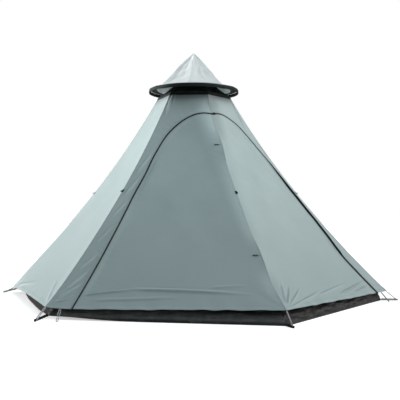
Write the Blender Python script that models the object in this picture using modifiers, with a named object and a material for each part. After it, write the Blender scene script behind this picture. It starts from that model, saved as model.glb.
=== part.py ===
"""Hexagonal pyramid tent with an outer fly, an inner tent, a centre pole and a hooded vent.

Metres, +Z up. The ground is at Z = 0, the pole stands on the Z axis and the door's middle rib
points to -Y. Cloth is drawn as a thin solid whose outer face is the real outer face.
"""

import math

import bmesh
import bpy
from mathutils import Matrix, Vector

# Fly, measured on its outer face
CORNER_RADIUS = 1.83
CORNER_HEIGHT = 0.085
NECK_RADIUS = 0.345
NECK_HEIGHT = 1.945
RIB_SAG = 0.105
PANEL_SAG = 0.022
HEM_RISE = 0.010
CLOTH = 0.0012
SEAM_GAP = 0.0012
SEAT = 0.0004
CURVE_SEAT = 0.0012

# Door, as a share of each front panel's width and as heights above the ground
DOOR_WIDTH_SHARE = 0.885
DOOR_SPRING_HEIGHT = 1.20
DOOR_TOP_HEIGHT = 1.736
DOOR_ARCH_POWER = 2.4
RIB_TAPE_HALF = 0.012

# Zips
ZIP_HALF = 0.008
ZIP_TAPE_HALF = 0.016
ZIP_TAPE = 0.0008
ZIP_TAPE_SEAT = 0.0009
COIL_HALF = 0.0028
COIL_GAP_HALF = 0.0004
COIL_PROUD = 0.0004
SLIDER_LENGTH = 0.020
SLIDER_WIDTH = 0.011
SLIDER_PLATE = 0.0018
SLIDER_SEAT = 0.0006
SLIDER_EDGE = 0.0006
LUG_THICKNESS = 0.0012
LUG_INSET = 0.0010
LUG_LENGTH = 0.0050
LUG_CROWN = 0.0018
PULL_BAR_RADIUS = 0.0008
PULL_EYE_RADIUS = 0.0021
PULL_CLEARANCE = 0.0004
PULL_BORE_RADIUS = 0.0012
PULL_LENGTH = 0.030
PULL_THICKNESS = 0.0012
ZIP_START = 0.026
ZIP_END_GAP = 0.0050
SLIDER_TRAVEL = 0.350

# Vent: net cone, cap, and the hoop in its bound brim
NET_TOP_HEIGHT = 2.270
NET_SAG = 0.034
NET_SEAT = 0.0018
CAP_TIP_HEIGHT = 2.360
BRIM_RADIUS = 0.430
BRIM_HEIGHT = 1.992
BRIM_BINDING_HALF_HEIGHT = 0.014
HOOP_ROD_RADIUS = 0.004
CAP_SAG = 0.020
CAP_TURN = math.radians(30)

# Centre pole, push-fit in three lengths
POLE_RADIUS = 0.0095
POLE_WALL = 0.0010
POLE_INSERT = 0.060
POLE_FIT = 0.0003
POLE_TIP_SEAT = 0.0048
POLE_FOOT_RADIUS = 0.016
POLE_FOOT_HEIGHT = 0.040
POLE_CAP_HEIGHT = 0.045
POLE_SECTIONS = 3

# Inner tent and its tub floor
FLOOR_RADIUS = 1.763
TUB_HEIGHT = 0.150
TUB_TOP_RADIUS = 1.700
TUB_CLOTH = 0.0016
TUB_FOLD = 0.004
TUB_FOLDS = 7
# The seam between floor and wall stands upright, so the floor is flat right up to it
TUB_SEAM_HEIGHT = 0.006
POLE_PATCH_RADIUS = 0.060
POLE_PATCH = 0.0012
INNER_TOP_RADIUS = 0.060
INNER_TOP_HEIGHT = 2.020
INNER_RIB_SAG = 0.090
INNER_PANEL_SAG = 0.018
INNER_DOOR_HALF_WIDTH = 0.52
INNER_DOOR_HEIGHT = 1.34
INNER_DOOR_SPRING = 0.62
INNER_DOOR_SILL = 0.045
INNER_DOOR_GAP = 0.003
INNER_DOOR_SEAM = 0.0006
INNER_ZIP_WIDTH = 0.012
INNER_ZIP_THICKNESS = 0.0015
INNER_ZIP_SEAT = 0.0012
COLLAR_HEIGHT = 0.035

# Loops, toggles and ground loops
GUY_HEIGHT = 1.005
GUY_LOOP_LENGTH = 0.026
GUY_LOOP_HEIGHT = 0.014
GUY_LOOP_WIDTH = 0.012
GUY_WEBBING = 0.0020
GUY_SEAT = 0.0003
TOGGLE_HEIGHTS = {"upper": 1.418, "lower": 0.487}
TOGGLE_LENGTH = 0.038
TOGGLE_RADIUS = 0.0048
TOGGLE_WAIST = 0.0036
TOGGLE_CORD = 0.018
TOGGLE_CORD_RADIUS = 0.0013
PEG_RADIUS = 1.925
PEG_LOOP_CORD = 0.0022
PEG_LOOP_HALF_WIDTH = 0.007
PEG_LOOP_LIFT = 0.0052
FLOOR_LOOP_HALF_WIDTH = 0.009
FLOOR_LOOP_WEBBING = 0.0042
FLOOR_LOOP_THICKNESS = 0.0016
ZIP_LOOP_SHARE = 0.935
ZIP_LOOP_REACH = 0.075

# Drawing accuracy
WELD = 0.000001
OVERRUN = 0.010
NUDGE_SHARE = 0.0005
PANEL_COLUMNS = 8
PANEL_ROWS = 14
SIDE_STEPS = 8
ARCH_STEPS = 12
ROUND_SEGMENTS = 20

CORNER_ANGLES = {
    "left_back": math.radians(150),
    "left_front": math.radians(210),
    "front": math.radians(270),
    "right_front": math.radians(330),
    "right_back": math.radians(390),
    "back": math.radians(450),
}
FRONT = CORNER_ANGLES["front"]
HEX_STEP = math.radians(60)
HEX_FLAT = math.cos(HEX_STEP / 2)


# Materials


def make_material(name, colour, roughness, metallic=0.0):
    material = bpy.data.materials.new(name)
    material.use_nodes = True
    shader = material.node_tree.nodes["Principled BSDF"]
    shader.inputs["Base Color"].default_value = (*colour, 1.0)
    shader.inputs["Roughness"].default_value = roughness
    shader.inputs["Metallic"].default_value = metallic
    return material


FLY_COLOUR = (0.33, 0.40, 0.40)
CAP_COLOUR = (0.52, 0.60, 0.60)
BLACK_COLOUR = (0.012, 0.014, 0.015)
GREY_CORD_COLOUR = (0.42, 0.42, 0.45)


def piece_material(name):
    """The Principled material that a piece's name calls for."""
    if name.startswith("pole_foot") or name.startswith("pole_top"):
        return make_material(name, BLACK_COLOUR, 0.55)
    if name.startswith("pole"):
        return make_material(name, (0.55, 0.56, 0.57), 0.35, 1.0)
    if name.startswith(("zip_slider", "zip_pull", "inner_slider")):
        return make_material(name, (0.05, 0.05, 0.05), 0.35, 1.0)
    if name.startswith("vent_cap"):
        return make_material(name, CAP_COLOUR, 0.7)
    if name.startswith(("fly_peg", "zip_peg")):
        return make_material(name, GREY_CORD_COLOUR, 0.8)
    if name.startswith(("fly", "door")):
        return make_material(name, FLY_COLOUR, 0.7)
    if name.startswith("inner") and not name.startswith("inner_zip"):
        return make_material(name, (0.05, 0.055, 0.06), 0.8)
    return make_material(name, BLACK_COLOUR, 0.45)


# Object helpers


def add_object(name, mesh_or_curve):
    piece = bpy.data.objects.new(name, mesh_or_curve)
    PARTS.objects.link(piece)
    piece.data.materials.append(piece_material(name))
    return piece


def finish_bmesh(name, bm, smooth_angle=None):
    mesh = bpy.data.meshes.new(name)
    bm.to_mesh(mesh)
    bm.free()
    if smooth_angle is not None:
        mesh.shade_smooth()
        mesh.set_sharp_from_angle(angle=smooth_angle)
    return add_object(name, mesh)


def thicken(piece, thickness, offset):
    solidify = piece.modifiers.new("Thickness", "SOLIDIFY")
    solidify.thickness = thickness
    solidify.offset = offset
    solidify.use_even_offset = True
    return piece


def make_sheet(name, columns, rows, place, thickness=CLOTH, offset=-1.0):
    """A cloth sheet: a grid whose points are put on a surface by place(u, v), then thickened.

    u runs anticlockwise round the tent and v runs up, so that the faces point outwards.
    """
    bm = bmesh.new()
    bmesh.ops.create_grid(bm, x_segments=columns, y_segments=rows, size=0.5)
    for vertex in bm.verts:
        vertex.co = place(vertex.co.x + 0.5, vertex.co.y + 0.5)
    bmesh.ops.remove_doubles(bm, verts=bm.verts, dist=WELD)
    piece = finish_bmesh(name, bm, math.radians(25))
    return thicken(piece, thickness, offset)


def make_loft(name, rings, smooth_angle=None, closed=False):
    """A solid swept through rings of points: the first is a face, extruded to each of the others."""
    bm = bmesh.new()
    ring = [bm.verts.new(point) for point in rings[0]]
    if closed:
        first = ring
        for points in rings[1:]:
            following = [bm.verts.new(point) for point in points]
            bridge(bm, ring, following)
            ring = following
        bridge(bm, ring, first)
    else:
        bm.faces.new(ring)
        for points in rings[1:]:
            face = [f for f in bm.faces if set(f.verts) == set(ring)][0]
            grown = bmesh.ops.extrude_face_region(bm, geom=[face])
            bmesh.ops.delete(bm, geom=[face], context="FACES_ONLY")
            new_verts = [g for g in grown["geom"] if isinstance(g, bmesh.types.BMVert)]
            ring = match_ring(ring, new_verts)
            for vertex, point in zip(ring, points):
                vertex.co = point
        start = [edge for edge in bm.edges if edge.is_boundary]
        bmesh.ops.contextual_create(bm, geom=start)
    bmesh.ops.recalc_face_normals(bm, faces=bm.faces)
    return finish_bmesh(name, bm, smooth_angle)


def bridge(bm, ring, following):
    count = len(ring)
    for i in range(count):
        j = (i + 1) % count
        bm.faces.new((ring[i], ring[j], following[j], following[i]))


def match_ring(ring, new_verts):
    """The new vertices in the old ring's order: extruding leaves them where the old ones are."""
    left = list(new_verts)
    ordered = []
    for vertex in ring:
        nearest = min(left, key=lambda candidate: (candidate.co - vertex.co).length)
        left.remove(nearest)
        ordered.append(nearest)
    return ordered


def make_turned(name, profile, segments=ROUND_SEGMENTS):
    """A profile of (radius, height) points, listed from the top down its outer side, turned about Z."""
    mesh = bpy.data.meshes.new(name)
    bm = bmesh.new()
    verts = [bm.verts.new((radius, 0, height)) for radius, height in profile]
    for first, second in zip(verts, verts[1:]):
        bm.edges.new((first, second))
    if profile[0][0] > 0:
        bm.edges.new((verts[-1], verts[0]))
    bm.to_mesh(mesh)
    bm.free()
    piece = add_object(name, mesh)
    screw = piece.modifiers.new("Turn", "SCREW")
    screw.steps = segments
    screw.render_steps = segments
    screw.use_merge_vertices = True
    screw.merge_threshold = WELD
    screw.use_smooth_shade = True
    return piece


def make_tube(name, points, radius, sides=2, cyclic=False):
    """A cord or rod: a poly curve with a round bevel and filled caps."""
    curve = bpy.data.curves.new(name, "CURVE")
    curve.dimensions = "3D"
    curve.bevel_depth = radius
    curve.bevel_resolution = sides
    curve.use_fill_caps = not cyclic
    spline = curve.splines.new("POLY")
    spline.points.add(len(points) - 1)
    for target, point in zip(spline.points, points):
        target.co = (*point, 1.0)
    spline.use_cyclic_u = cyclic
    return add_object(name, curve)


def make_outline(name, loops, thickness):
    """A flat outline with any holes, as a 2D curve extruded to its thickness about its own plane."""
    curve = bpy.data.curves.new(name, "CURVE")
    curve.dimensions = "2D"
    curve.fill_mode = "BOTH"
    curve.extrude = thickness / 2
    for points in loops:
        spline = curve.splines.new("POLY")
        spline.points.add(len(points) - 1)
        for target, point in zip(spline.points, points):
            target.co = (*point, 0.0, 1.0)
        spline.use_cyclic_u = True
    return add_object(name, curve)


def make_block(name, size, place):
    bm = bmesh.new()
    bmesh.ops.create_cube(bm, size=1.0, matrix=place @ Matrix.Diagonal((*size, 1.0)))
    return finish_bmesh(name, bm)


def make_cutter(piece):
    """Moves a piece to the cutters' collection, so that it shapes others and isn't a part."""
    PARTS.objects.unlink(piece)
    CUTTERS.objects.link(piece)
    piece.hide_render = True
    piece.display_type = "WIRE"
    return piece


def combine(piece, other, operation):
    boolean = piece.modifiers.new(operation.title(), "BOOLEAN")
    boolean.operation = operation
    boolean.solver = "EXACT"
    boolean.object = make_cutter(other)
    return piece


def hang(pivot_name, location, pieces):
    """An empty on a joint's axis that carries the named pieces, which keep their places."""
    pivot = bpy.data.objects.new(pivot_name, None)
    PARTS.objects.link(pivot)
    pivot.location = location
    for name in pieces:
        piece = bpy.data.objects[name]
        piece.parent = pivot
        piece.matrix_parent_inverse = Matrix.Translation(-Vector(location))
    return pivot


# The tent's surfaces


class Skin:
    """A six-sided sagging pyramid: q runs across a side and s runs up it, both from 0 to 1."""

    def __init__(self, foot, top, rib_sag, panel_sag, hem_rise):
        self.foot_radius, self.foot_height = foot
        self.top_radius, self.top_height = top
        self.rib_sag = rib_sag
        self.panel_sag = panel_sag
        self.hem_rise = hem_rise

    def radius(self, s):
        """The rib's distance from the pole, which is also the width of a side at that height."""
        chord = self.foot_radius + (self.top_radius - self.foot_radius) * s
        return chord - 4 * self.rib_sag * s * (1 - s)

    def height(self, s):
        return self.foot_height + (self.top_height - self.foot_height) * s

    def share(self, height):
        return (height - self.foot_height) / (self.top_height - self.foot_height)

    def slant(self):
        return math.hypot(self.foot_radius - self.top_radius, self.top_height - self.foot_height)

    def rib(self, angle, s):
        radius = self.radius(s)
        return Vector((radius * math.cos(angle), radius * math.sin(angle), self.height(s)))

    def point(self, start, end, q, s):
        """A point between the ribs at the angles start and end."""
        bow = 4 * q * (1 - q)
        chord = self.rib(start, s).lerp(self.rib(end, s), q)
        middle = (start + end) / 2
        inward = Vector((-math.cos(middle), -math.sin(middle), 0))
        lift = self.hem_rise * bow * (1 - s) ** 6
        return chord + inward * self.panel_sag * bow * 4 * s * (1 - s) + Vector((0, 0, lift))

    def frame(self, start, end, q, s):
        """The surface's point, its two slopes by q and by s, and its outward normal."""
        here = self.point(start, end, q, s)
        by_q = self.point(start, end, q + NUDGE_SHARE, s) - self.point(start, end, q - NUDGE_SHARE, s)
        by_s = self.point(start, end, q, s + NUDGE_SHARE) - self.point(start, end, q, s - NUDGE_SHARE)
        by_q /= 2 * NUDGE_SHARE
        by_s /= 2 * NUDGE_SHARE
        normal = by_q.cross(by_s).normalized()
        middle = (start + end) / 2
        if normal.dot(Vector((math.cos(middle), math.sin(middle), 0))) < 0:
            normal.negate()
        return here, by_q, by_s, normal


FLY = Skin(
    (CORNER_RADIUS, CORNER_HEIGHT), (NECK_RADIUS, NECK_HEIGHT), RIB_SAG, PANEL_SAG, HEM_RISE
)
INNER = Skin(
    (TUB_TOP_RADIUS, TUB_HEIGHT + CLOTH + SEAT),
    (INNER_TOP_RADIUS, INNER_TOP_HEIGHT),
    INNER_RIB_SAG,
    INNER_PANEL_SAG,
    0,
)
SIDES = {"left": -1, "right": 1}


def side_angles(side):
    """The front rib's angle and the angle of the next rib on the door's left or right."""
    return FRONT, FRONT + SIDES[side] * HEX_STEP


# The door's outline, as (q, s) on a front panel, q from the front rib


def door_path():
    spring = FLY.share(DOOR_SPRING_HEIGHT)
    top = FLY.share(DOOR_TOP_HEIGHT)
    path = [(DOOR_WIDTH_SHARE, spring * step / SIDE_STEPS) for step in range(SIDE_STEPS)]
    for step in range(ARCH_STEPS + 1):
        turn = math.radians(90) * step / ARCH_STEPS
        s = spring + (top - spring) * math.sin(turn) ** (2 / DOOR_ARCH_POWER)
        across = max(math.cos(turn), 0) ** (2 / DOOR_ARCH_POWER)
        path.append((max(DOOR_WIDTH_SHARE * across, ZIP_END_GAP / FLY.radius(s)), s))
    return path


def path_frames(side):
    """For each point of the door's outline: its place, direction, outward sideways and normal."""
    start, end = side_angles(side)
    path = door_path()
    frames = []
    for index, (q, s) in enumerate(path):
        here, by_q, by_s, normal = FLY.frame(start, end, q, s)
        before = path[max(index - 1, 0)]
        after = path[min(index + 1, len(path) - 1)]
        along = (by_q * (after[0] - before[0]) + by_s * (after[1] - before[1])).normalized()
        sideways = along.cross(normal) * SIDES[side]
        if index == len(path) - 1:
            sideways = by_s.normalized()
        frames.append((here, along, sideways, normal, by_q, by_s))
    return frames


def shifted_path(distance):
    """The door's outline moved sideways over the cloth; a positive distance is away from the door."""
    moved = []
    for (q, s), (_, _, sideways, _, by_q, by_s) in zip(door_path(), path_frames("right")):
        qq, qs, ss = by_q.dot(by_q), by_q.dot(by_s), by_s.dot(by_s)
        right_q = by_q.dot(sideways) * distance
        right_s = by_s.dot(sideways) * distance
        scale = qq * ss - qs * qs
        moved.append((q + (right_q * ss - right_s * qs) / scale, s + (right_s * qq - right_q * qs) / scale))
    moved[0] = (moved[0][0], 0)
    return moved


def lateral(q, s):
    """The distance across the cloth from the front rib."""
    return q * FLY.radius(s)


def seam_share(s, gap=SEAM_GAP):
    return gap / FLY.radius(s)


# Fly panels


def ordered(side, q_near, q_far, u):
    """q at u, so that u runs anticlockwise on either side of the front rib."""
    if side == "left":
        return q_far + (q_near - q_far) * u
    return q_near + (q_far - q_near) * u


def make_plain_panels():
    for name, first, second in (
        ("fly_left", "left_back", "left_front"),
        ("fly_right", "right_front", "right_back"),
        ("fly_back_right", "right_back", "back"),
        ("fly_back_left", "back", "left_back"),
    ):
        start = CORNER_ANGLES[first]
        end = CORNER_ANGLES[second]
        if end < start:
            end += 2 * math.pi

        def place(u, v, start=start, end=end):
            edge = seam_share(v)
            return FLY.point(start, end, edge + (1 - 2 * edge) * u, v)

        make_sheet(name, PANEL_COLUMNS, PANEL_ROWS, place)


def surround_rows():
    """The near edge (q, s) of a front panel outside the door, from the hem to the neck."""
    rows = [(q, s) for q, s in shifted_path(ZIP_HALF) if lateral(q, s) > SEAM_GAP]
    last = max(s for _, s in shifted_path(ZIP_HALF))
    rows.append((seam_share(last), last + seam_share(last)))
    above = 3
    for step in range(1, above + 1):
        s = last + (1 - last) * step / above
        rows.append((seam_share(s), s))
    return rows


def flap_rows():
    """The far edge (q, s) of a door flap, from the hem to its blunt top."""
    least = 2 * RIB_TAPE_HALF
    return [(q, s) for q, s in shifted_path(-ZIP_HALF) if lateral(q, s) > least]


def make_row_sheet(name, side, rows, near_and_far, columns):
    """A sheet whose rows follow a list of heights, each running between two shares of the panel."""
    start, end = side_angles(side)
    count = len(rows) - 1

    def place(u, v):
        q_row, s = rows[round(v * count)]
        near, far = near_and_far(q_row, s)
        return FLY.point(start, end, ordered(side, near, far, u), s)

    make_sheet(name, columns, count, place)


def make_front():
    for side in SIDES:
        make_row_sheet(
            "fly_front_" + side,
            side,
            surround_rows(),
            lambda q, s: (q, 1 - seam_share(s)),
            PANEL_COLUMNS // 2,
        )
        make_row_sheet(
            "door_flap_" + side,
            side,
            flap_rows(),
            lambda q, s: (seam_share(s, RIB_TAPE_HALF + SEAT), q),
            PANEL_COLUMNS,
        )

    heights = [s for _, s in door_path()]
    heights[-1] -= (COIL_HALF + SEAM_GAP) / FLY.slant()

    def place(u, v):
        s = heights[round(v * (len(heights) - 1))]
        side = "left" if u < 0.5 else "right"
        start, end = side_angles(side)
        return FLY.point(start, end, abs(u - 0.5) * 2 * seam_share(s, RIB_TAPE_HALF), s)

    make_sheet("door_rib_tape", 2, len(heights) - 1, place)


# Zips


def section_rings(frames, section):
    return [
        [here + sideways * across + normal * out for across, out in section]
        for here, _, sideways, normal, _, _ in frames
    ]


def clear_of_rib(frames, gap):
    return [frame for frame in frames if abs(frame[0].x) > gap]


def zip_section(sign):
    """An edge coil with its tape behind the cloth, on one side of the zip's middle line."""
    front = -(CLOTH + ZIP_TAPE_SEAT)
    back = front - ZIP_TAPE
    return [
        (sign * COIL_GAP_HALF, back),
        (sign * COIL_GAP_HALF, COIL_PROUD),
        (sign * COIL_HALF, COIL_PROUD),
        (sign * COIL_HALF, front),
        (sign * ZIP_TAPE_HALF, front),
        (sign * ZIP_TAPE_HALF, back),
    ]


def moved_start(frames, distance):
    """The same frames with the first one slid up the zip, so that the zip starts later."""
    here, along, sideways, normal, by_q, by_s = frames[0]
    return [(here + along * distance, along, sideways, normal, by_q, by_s)] + frames[1:]


def make_zips():
    for side in SIDES:
        frames = path_frames(side)
        make_loft("zip_fixed_" + side, section_rings(frames, zip_section(1)))
        moving = moved_start(clear_of_rib(frames, 2 * RIB_TAPE_HALF), ZIP_START)
        make_loft("zip_flap_" + side, section_rings(moving, zip_section(-1)))
        make_slider(side)


def slide_line(side):
    """Where the slider starts, the way it runs and its outward normal."""
    start, end = side_angles(side)
    first = FLY.frame(start, end, DOOR_WIDTH_SHARE, ZIP_START / 2 / FLY.slant())
    last = FLY.frame(start, end, DOOR_WIDTH_SHARE, (ZIP_START / 2 + SLIDER_TRAVEL) / FLY.slant())
    along = (last[0] - first[0]).normalized()
    return first[0], along, upright(along, first[3] + last[3])


def upright(along, normal):
    """The normal made square to the way along."""
    return (normal - along * normal.dot(along)).normalized()


def basis(origin, x_axis, y_axis, z_axis):
    matrix = Matrix((x_axis, y_axis, z_axis)).transposed().to_4x4()
    matrix.translation = origin
    return matrix


def slider_pivot_lift():
    return SLIDER_SEAT + COIL_PROUD + SLIDER_PLATE + PULL_EYE_RADIUS + PULL_CLEARANCE


def build_slider(name, pull_name, origin, along, normal):
    """A zip slider whose pull turns on a cross bar between two lugs."""
    across = along.cross(normal)
    place = basis(origin, along, across, normal)
    floor = SLIDER_SEAT + COIL_PROUD
    pivot_lift = slider_pivot_lift()
    slider = make_block(
        name,
        (SLIDER_LENGTH, SLIDER_WIDTH, SLIDER_PLATE),
        place @ Matrix.Translation((0, 0, floor + SLIDER_PLATE / 2)),
    )
    bevel = slider.modifiers.new("Edges", "BEVEL")
    bevel.width = SLIDER_EDGE
    bevel.segments = 1
    lug_reach = SLIDER_WIDTH / 2 - LUG_INSET - LUG_THICKNESS / 2
    lug_low = floor + SLIDER_PLATE / 2
    lug_high = pivot_lift + LUG_CROWN
    for sign in (-1, 1):
        lug = make_block(
            f"{name}_lug_{sign}",
            (LUG_LENGTH, LUG_THICKNESS, lug_high - lug_low),
            place @ Matrix.Translation((0, sign * lug_reach, (lug_low + lug_high) / 2)),
        )
        combine(slider, lug, "UNION")
    bm = bmesh.new()
    bmesh.ops.create_cone(
        bm,
        cap_ends=True,
        segments=8,
        radius1=PULL_BAR_RADIUS,
        radius2=PULL_BAR_RADIUS,
        depth=2 * lug_reach,
        matrix=place @ Matrix.Translation((0, 0, pivot_lift)) @ Matrix.Rotation(math.radians(90), 4, "X"),
    )
    combine(slider, finish_bmesh(name + "_bar", bm), "UNION")

    eye = [(PULL_EYE_RADIUS * math.cos(a), PULL_EYE_RADIUS * math.sin(a)) for a in pull_arc()]
    lower = -PULL_THICKNESS / 2
    upper = PULL_THICKNESS / 2
    outline = eye + [(-PULL_LENGTH, lower), (-PULL_LENGTH, upper)]
    bore_steps = 10
    bore = [
        (
            PULL_BORE_RADIUS * math.cos(2 * math.pi * step / bore_steps),
            PULL_BORE_RADIUS * math.sin(2 * math.pi * step / bore_steps),
        )
        for step in range(bore_steps)
    ]
    pull_width = 2 * lug_reach - LUG_THICKNESS - 2 * SEAT
    pull = make_outline(pull_name, [outline, bore], pull_width)
    pull.matrix_world = basis(origin + normal * pivot_lift, along, normal, along.cross(normal))


def pull_arc():
    """The eye's outer angles, anticlockwise from the tab's upper side round to its lower side."""
    half = math.asin(PULL_THICKNESS / 2 / PULL_EYE_RADIUS)
    first = math.pi + half
    last = 3 * math.pi - half
    steps = 10
    angles = [first + (last - first) * step / steps for step in range(steps + 1)]
    return angles[::-1]


def make_slider(side):
    origin, along, normal = slide_line(side)
    build_slider("zip_slider_" + side, "zip_pull_" + side, origin, along, normal)


# Vent


def hexagon(angle, corner):
    """The outline's distance at an angle, for a hexagon of corner radius 1 with a corner at corner."""
    turn = (angle - corner) % HEX_STEP - HEX_STEP / 2
    return HEX_FLAT / math.cos(turn)


def polar(radius, angle, height):
    return Vector((radius * math.cos(angle), radius * math.sin(angle), height))


def make_vent():
    around = 6

    def net(u, v):
        angle = FRONT + u * 2 * math.pi
        low = NECK_RADIUS - NET_SEAT
        radius = low + (POLE_RADIUS + SEAT + CLOTH - low) * v
        height = NECK_HEIGHT + (NET_TOP_HEIGHT - NECK_HEIGHT) * v - 4 * NET_SAG * v * (1 - v)
        roundness = v * v
        shape = hexagon(angle, FRONT) * (1 - roundness) + roundness
        return polar(radius * shape, angle, height)

    make_sheet("vent_net", around * 4, 6, net)

    cap_foot = BRIM_HEIGHT + BRIM_BINDING_HALF_HEIGHT + CLOTH

    def cap(u, v):
        angle = FRONT + u * 2 * math.pi
        radius = BRIM_RADIUS * (1 - v)
        height = cap_foot + (CAP_TIP_HEIGHT - cap_foot) * v - 4 * CAP_SAG * v * (1 - v)
        roundness = (1 - v) ** 6
        shape = hexagon(angle, FRONT + CAP_TURN) * (1 - roundness) + roundness
        return polar(radius * shape, angle, height)

    make_sheet("vent_cap", around * 6, 7, cap)

    segments = around * 6
    ring = [polar(BRIM_RADIUS, 2 * math.pi * step / segments, BRIM_HEIGHT) for step in range(segments)]
    make_tube("brim_hoop", ring, HOOP_ROD_RADIUS, 1, cyclic=True)

    half_width = HOOP_ROD_RADIUS + SEAT + CLOTH
    mouth = math.radians(50)

    def binding(u, v):
        angle = FRONT + u * 2 * math.pi
        turn = -math.pi / 2 + mouth / 2 + (2 * math.pi - mouth) * v
        out = half_width * math.cos(turn)
        up = BRIM_BINDING_HALF_HEIGHT * math.sin(turn)
        return polar(BRIM_RADIUS + out, angle, BRIM_HEIGHT + up)

    make_sheet("brim_binding", segments, 9, binding)


# Centre pole


def make_pole():
    floor_top = TUB_CLOTH + POLE_PATCH + SEAT
    foot_pocket = floor_top + POLE_FOOT_RADIUS / 2
    pole_top = CAP_TIP_HEIGHT - POLE_TIP_SEAT
    body_top = pole_top - POLE_CAP_HEIGHT
    length = (body_top - foot_pocket) / POLE_SECTIONS
    bore = POLE_RADIUS - POLE_WALL
    insert = bore - POLE_FIT
    insert_bore = insert - POLE_WALL
    for index, name in enumerate(("pole_lower", "pole_middle", "pole_upper")):
        low = foot_pocket + index * length + (POLE_FIT if index else 0)
        high = foot_pocket + (index + 1) * length
        if index < POLE_SECTIONS - 1:
            profile = [
                (insert, high + POLE_INSERT),
                (insert, high + POLE_FIT),
                (POLE_RADIUS, high),
                (POLE_RADIUS, low),
                (bore, low),
                (bore, high - POLE_INSERT),
                (insert_bore, high),
                (insert_bore, high + POLE_INSERT),
            ]
        else:
            profile = [(POLE_RADIUS, high), (POLE_RADIUS, low), (bore, low), (bore, high)]
        make_turned(name, profile)

    grip = POLE_RADIUS + POLE_FIT
    make_turned("pole_foot", foot_profile(floor_top, foot_pocket, grip))
    make_turned("pole_top", top_profile(pole_top, body_top, bore))


def foot_profile(floor_top, foot_pocket, grip):
    """A cup from the middle of its pocket, up its wall and down its outside to the ground."""
    return [
        (0, foot_pocket - POLE_FIT),
        (grip, foot_pocket - POLE_FIT),
        (grip, floor_top + POLE_FOOT_HEIGHT),
        (grip + POLE_WALL, floor_top + POLE_FOOT_HEIGHT),
        (POLE_FOOT_RADIUS, floor_top + POLE_FOOT_RADIUS / 2),
        (POLE_FOOT_RADIUS, floor_top),
        (0, floor_top),
    ]


def top_profile(pole_top, body_top, bore):
    """A domed plug with a spigot down the pole's bore."""
    seat = body_top + POLE_FIT
    spigot = bore - POLE_FIT
    return [
        (0, pole_top),
        (POLE_RADIUS / 2, pole_top - POLE_RADIUS / 4),
        (POLE_RADIUS, pole_top - POLE_RADIUS),
        (POLE_RADIUS, seat),
        (spigot, seat),
        (spigot, seat - POLE_INSERT / 2),
        (0, seat - POLE_INSERT / 2),
    ]


# Inner tent


def inner_side(first, second):
    start = CORNER_ANGLES[first]
    end = CORNER_ANGLES[second]
    if end < start:
        end += 2 * math.pi
    return start, end


def inner_sheet(name, start, end, columns, rows):

    def place(u, v):
        edge = SEAM_GAP / INNER.radius(v)
        return INNER.point(start, end, edge + (1 - 2 * edge) * u, v)

    return make_sheet(name, columns, rows, place)


def inner_door_outline(gap, sill_gap=0):
    """The inner door's arch as (across, up) on its panel, made smaller by a gap at its rim and sill."""
    half = INNER_DOOR_HALF_WIDTH - gap
    sill = INNER_DOOR_SILL + sill_gap
    spring = INNER_DOOR_SPRING
    top = INNER_DOOR_SILL + INNER_DOOR_HEIGHT - gap
    steps = 14
    arch = []
    for step in range(steps + 1):
        turn = math.pi * step / steps
        arch.append((half * math.cos(turn), spring + (top - spring) * math.sin(turn)))
    return [(half, sill)] + arch + [(-half, sill)]


def inner_plane(start, end):
    """A plane through the panel's middle line: origin at its foot, across, up and outward."""
    foot = INNER.point(start, end, 0.5, 0)
    head = INNER.point(start, end, 0.5, INNER_DOOR_HEIGHT / INNER.slant())
    up = (head - foot).normalized()
    across = (INNER.rib(end, 0) - INNER.rib(start, 0)).normalized()
    return foot, across, up, across.cross(up).normalized()


def inner_prism(name, start, end, gap, sill_gap):
    """A block with the door's outline, deep enough to pass through the sagging panel."""
    foot, across, up, outward = inner_plane(start, end)
    depth = INNER_RIB_SAG + OVERRUN
    rings = []
    for sign in (-1, 1):
        rings.append(
            [
                foot + across * x + up * y + outward * sign * depth
                for x, y in inner_door_outline(gap, sill_gap)
            ]
        )
    return make_loft(name, rings)


def on_inner(start, end, x, y):
    """The point of the inner skin that lies at x across and y up in the door's plane."""
    foot, across, up, _ = inner_plane(start, end)
    q = 0.5
    s = y / INNER.slant()
    for _ in range(8):
        here, by_q, by_s, _ = INNER.frame(start, end, q, s)
        miss_x = x - (here - foot).dot(across)
        miss_y = y - (here - foot).dot(up)
        s += miss_y / by_s.dot(up)
        q += miss_x / by_q.dot(across)
    return INNER.frame(start, end, q, s)


def inner_sill(start, end):
    """The lowest point of the inner door's middle, on its inner face. The door tips about it."""
    here, _, _, normal = on_inner(start, end, 0, INNER_DOOR_SILL + INNER_DOOR_SEAM)
    return here - normal * (CLOTH + SEAT)


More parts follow.
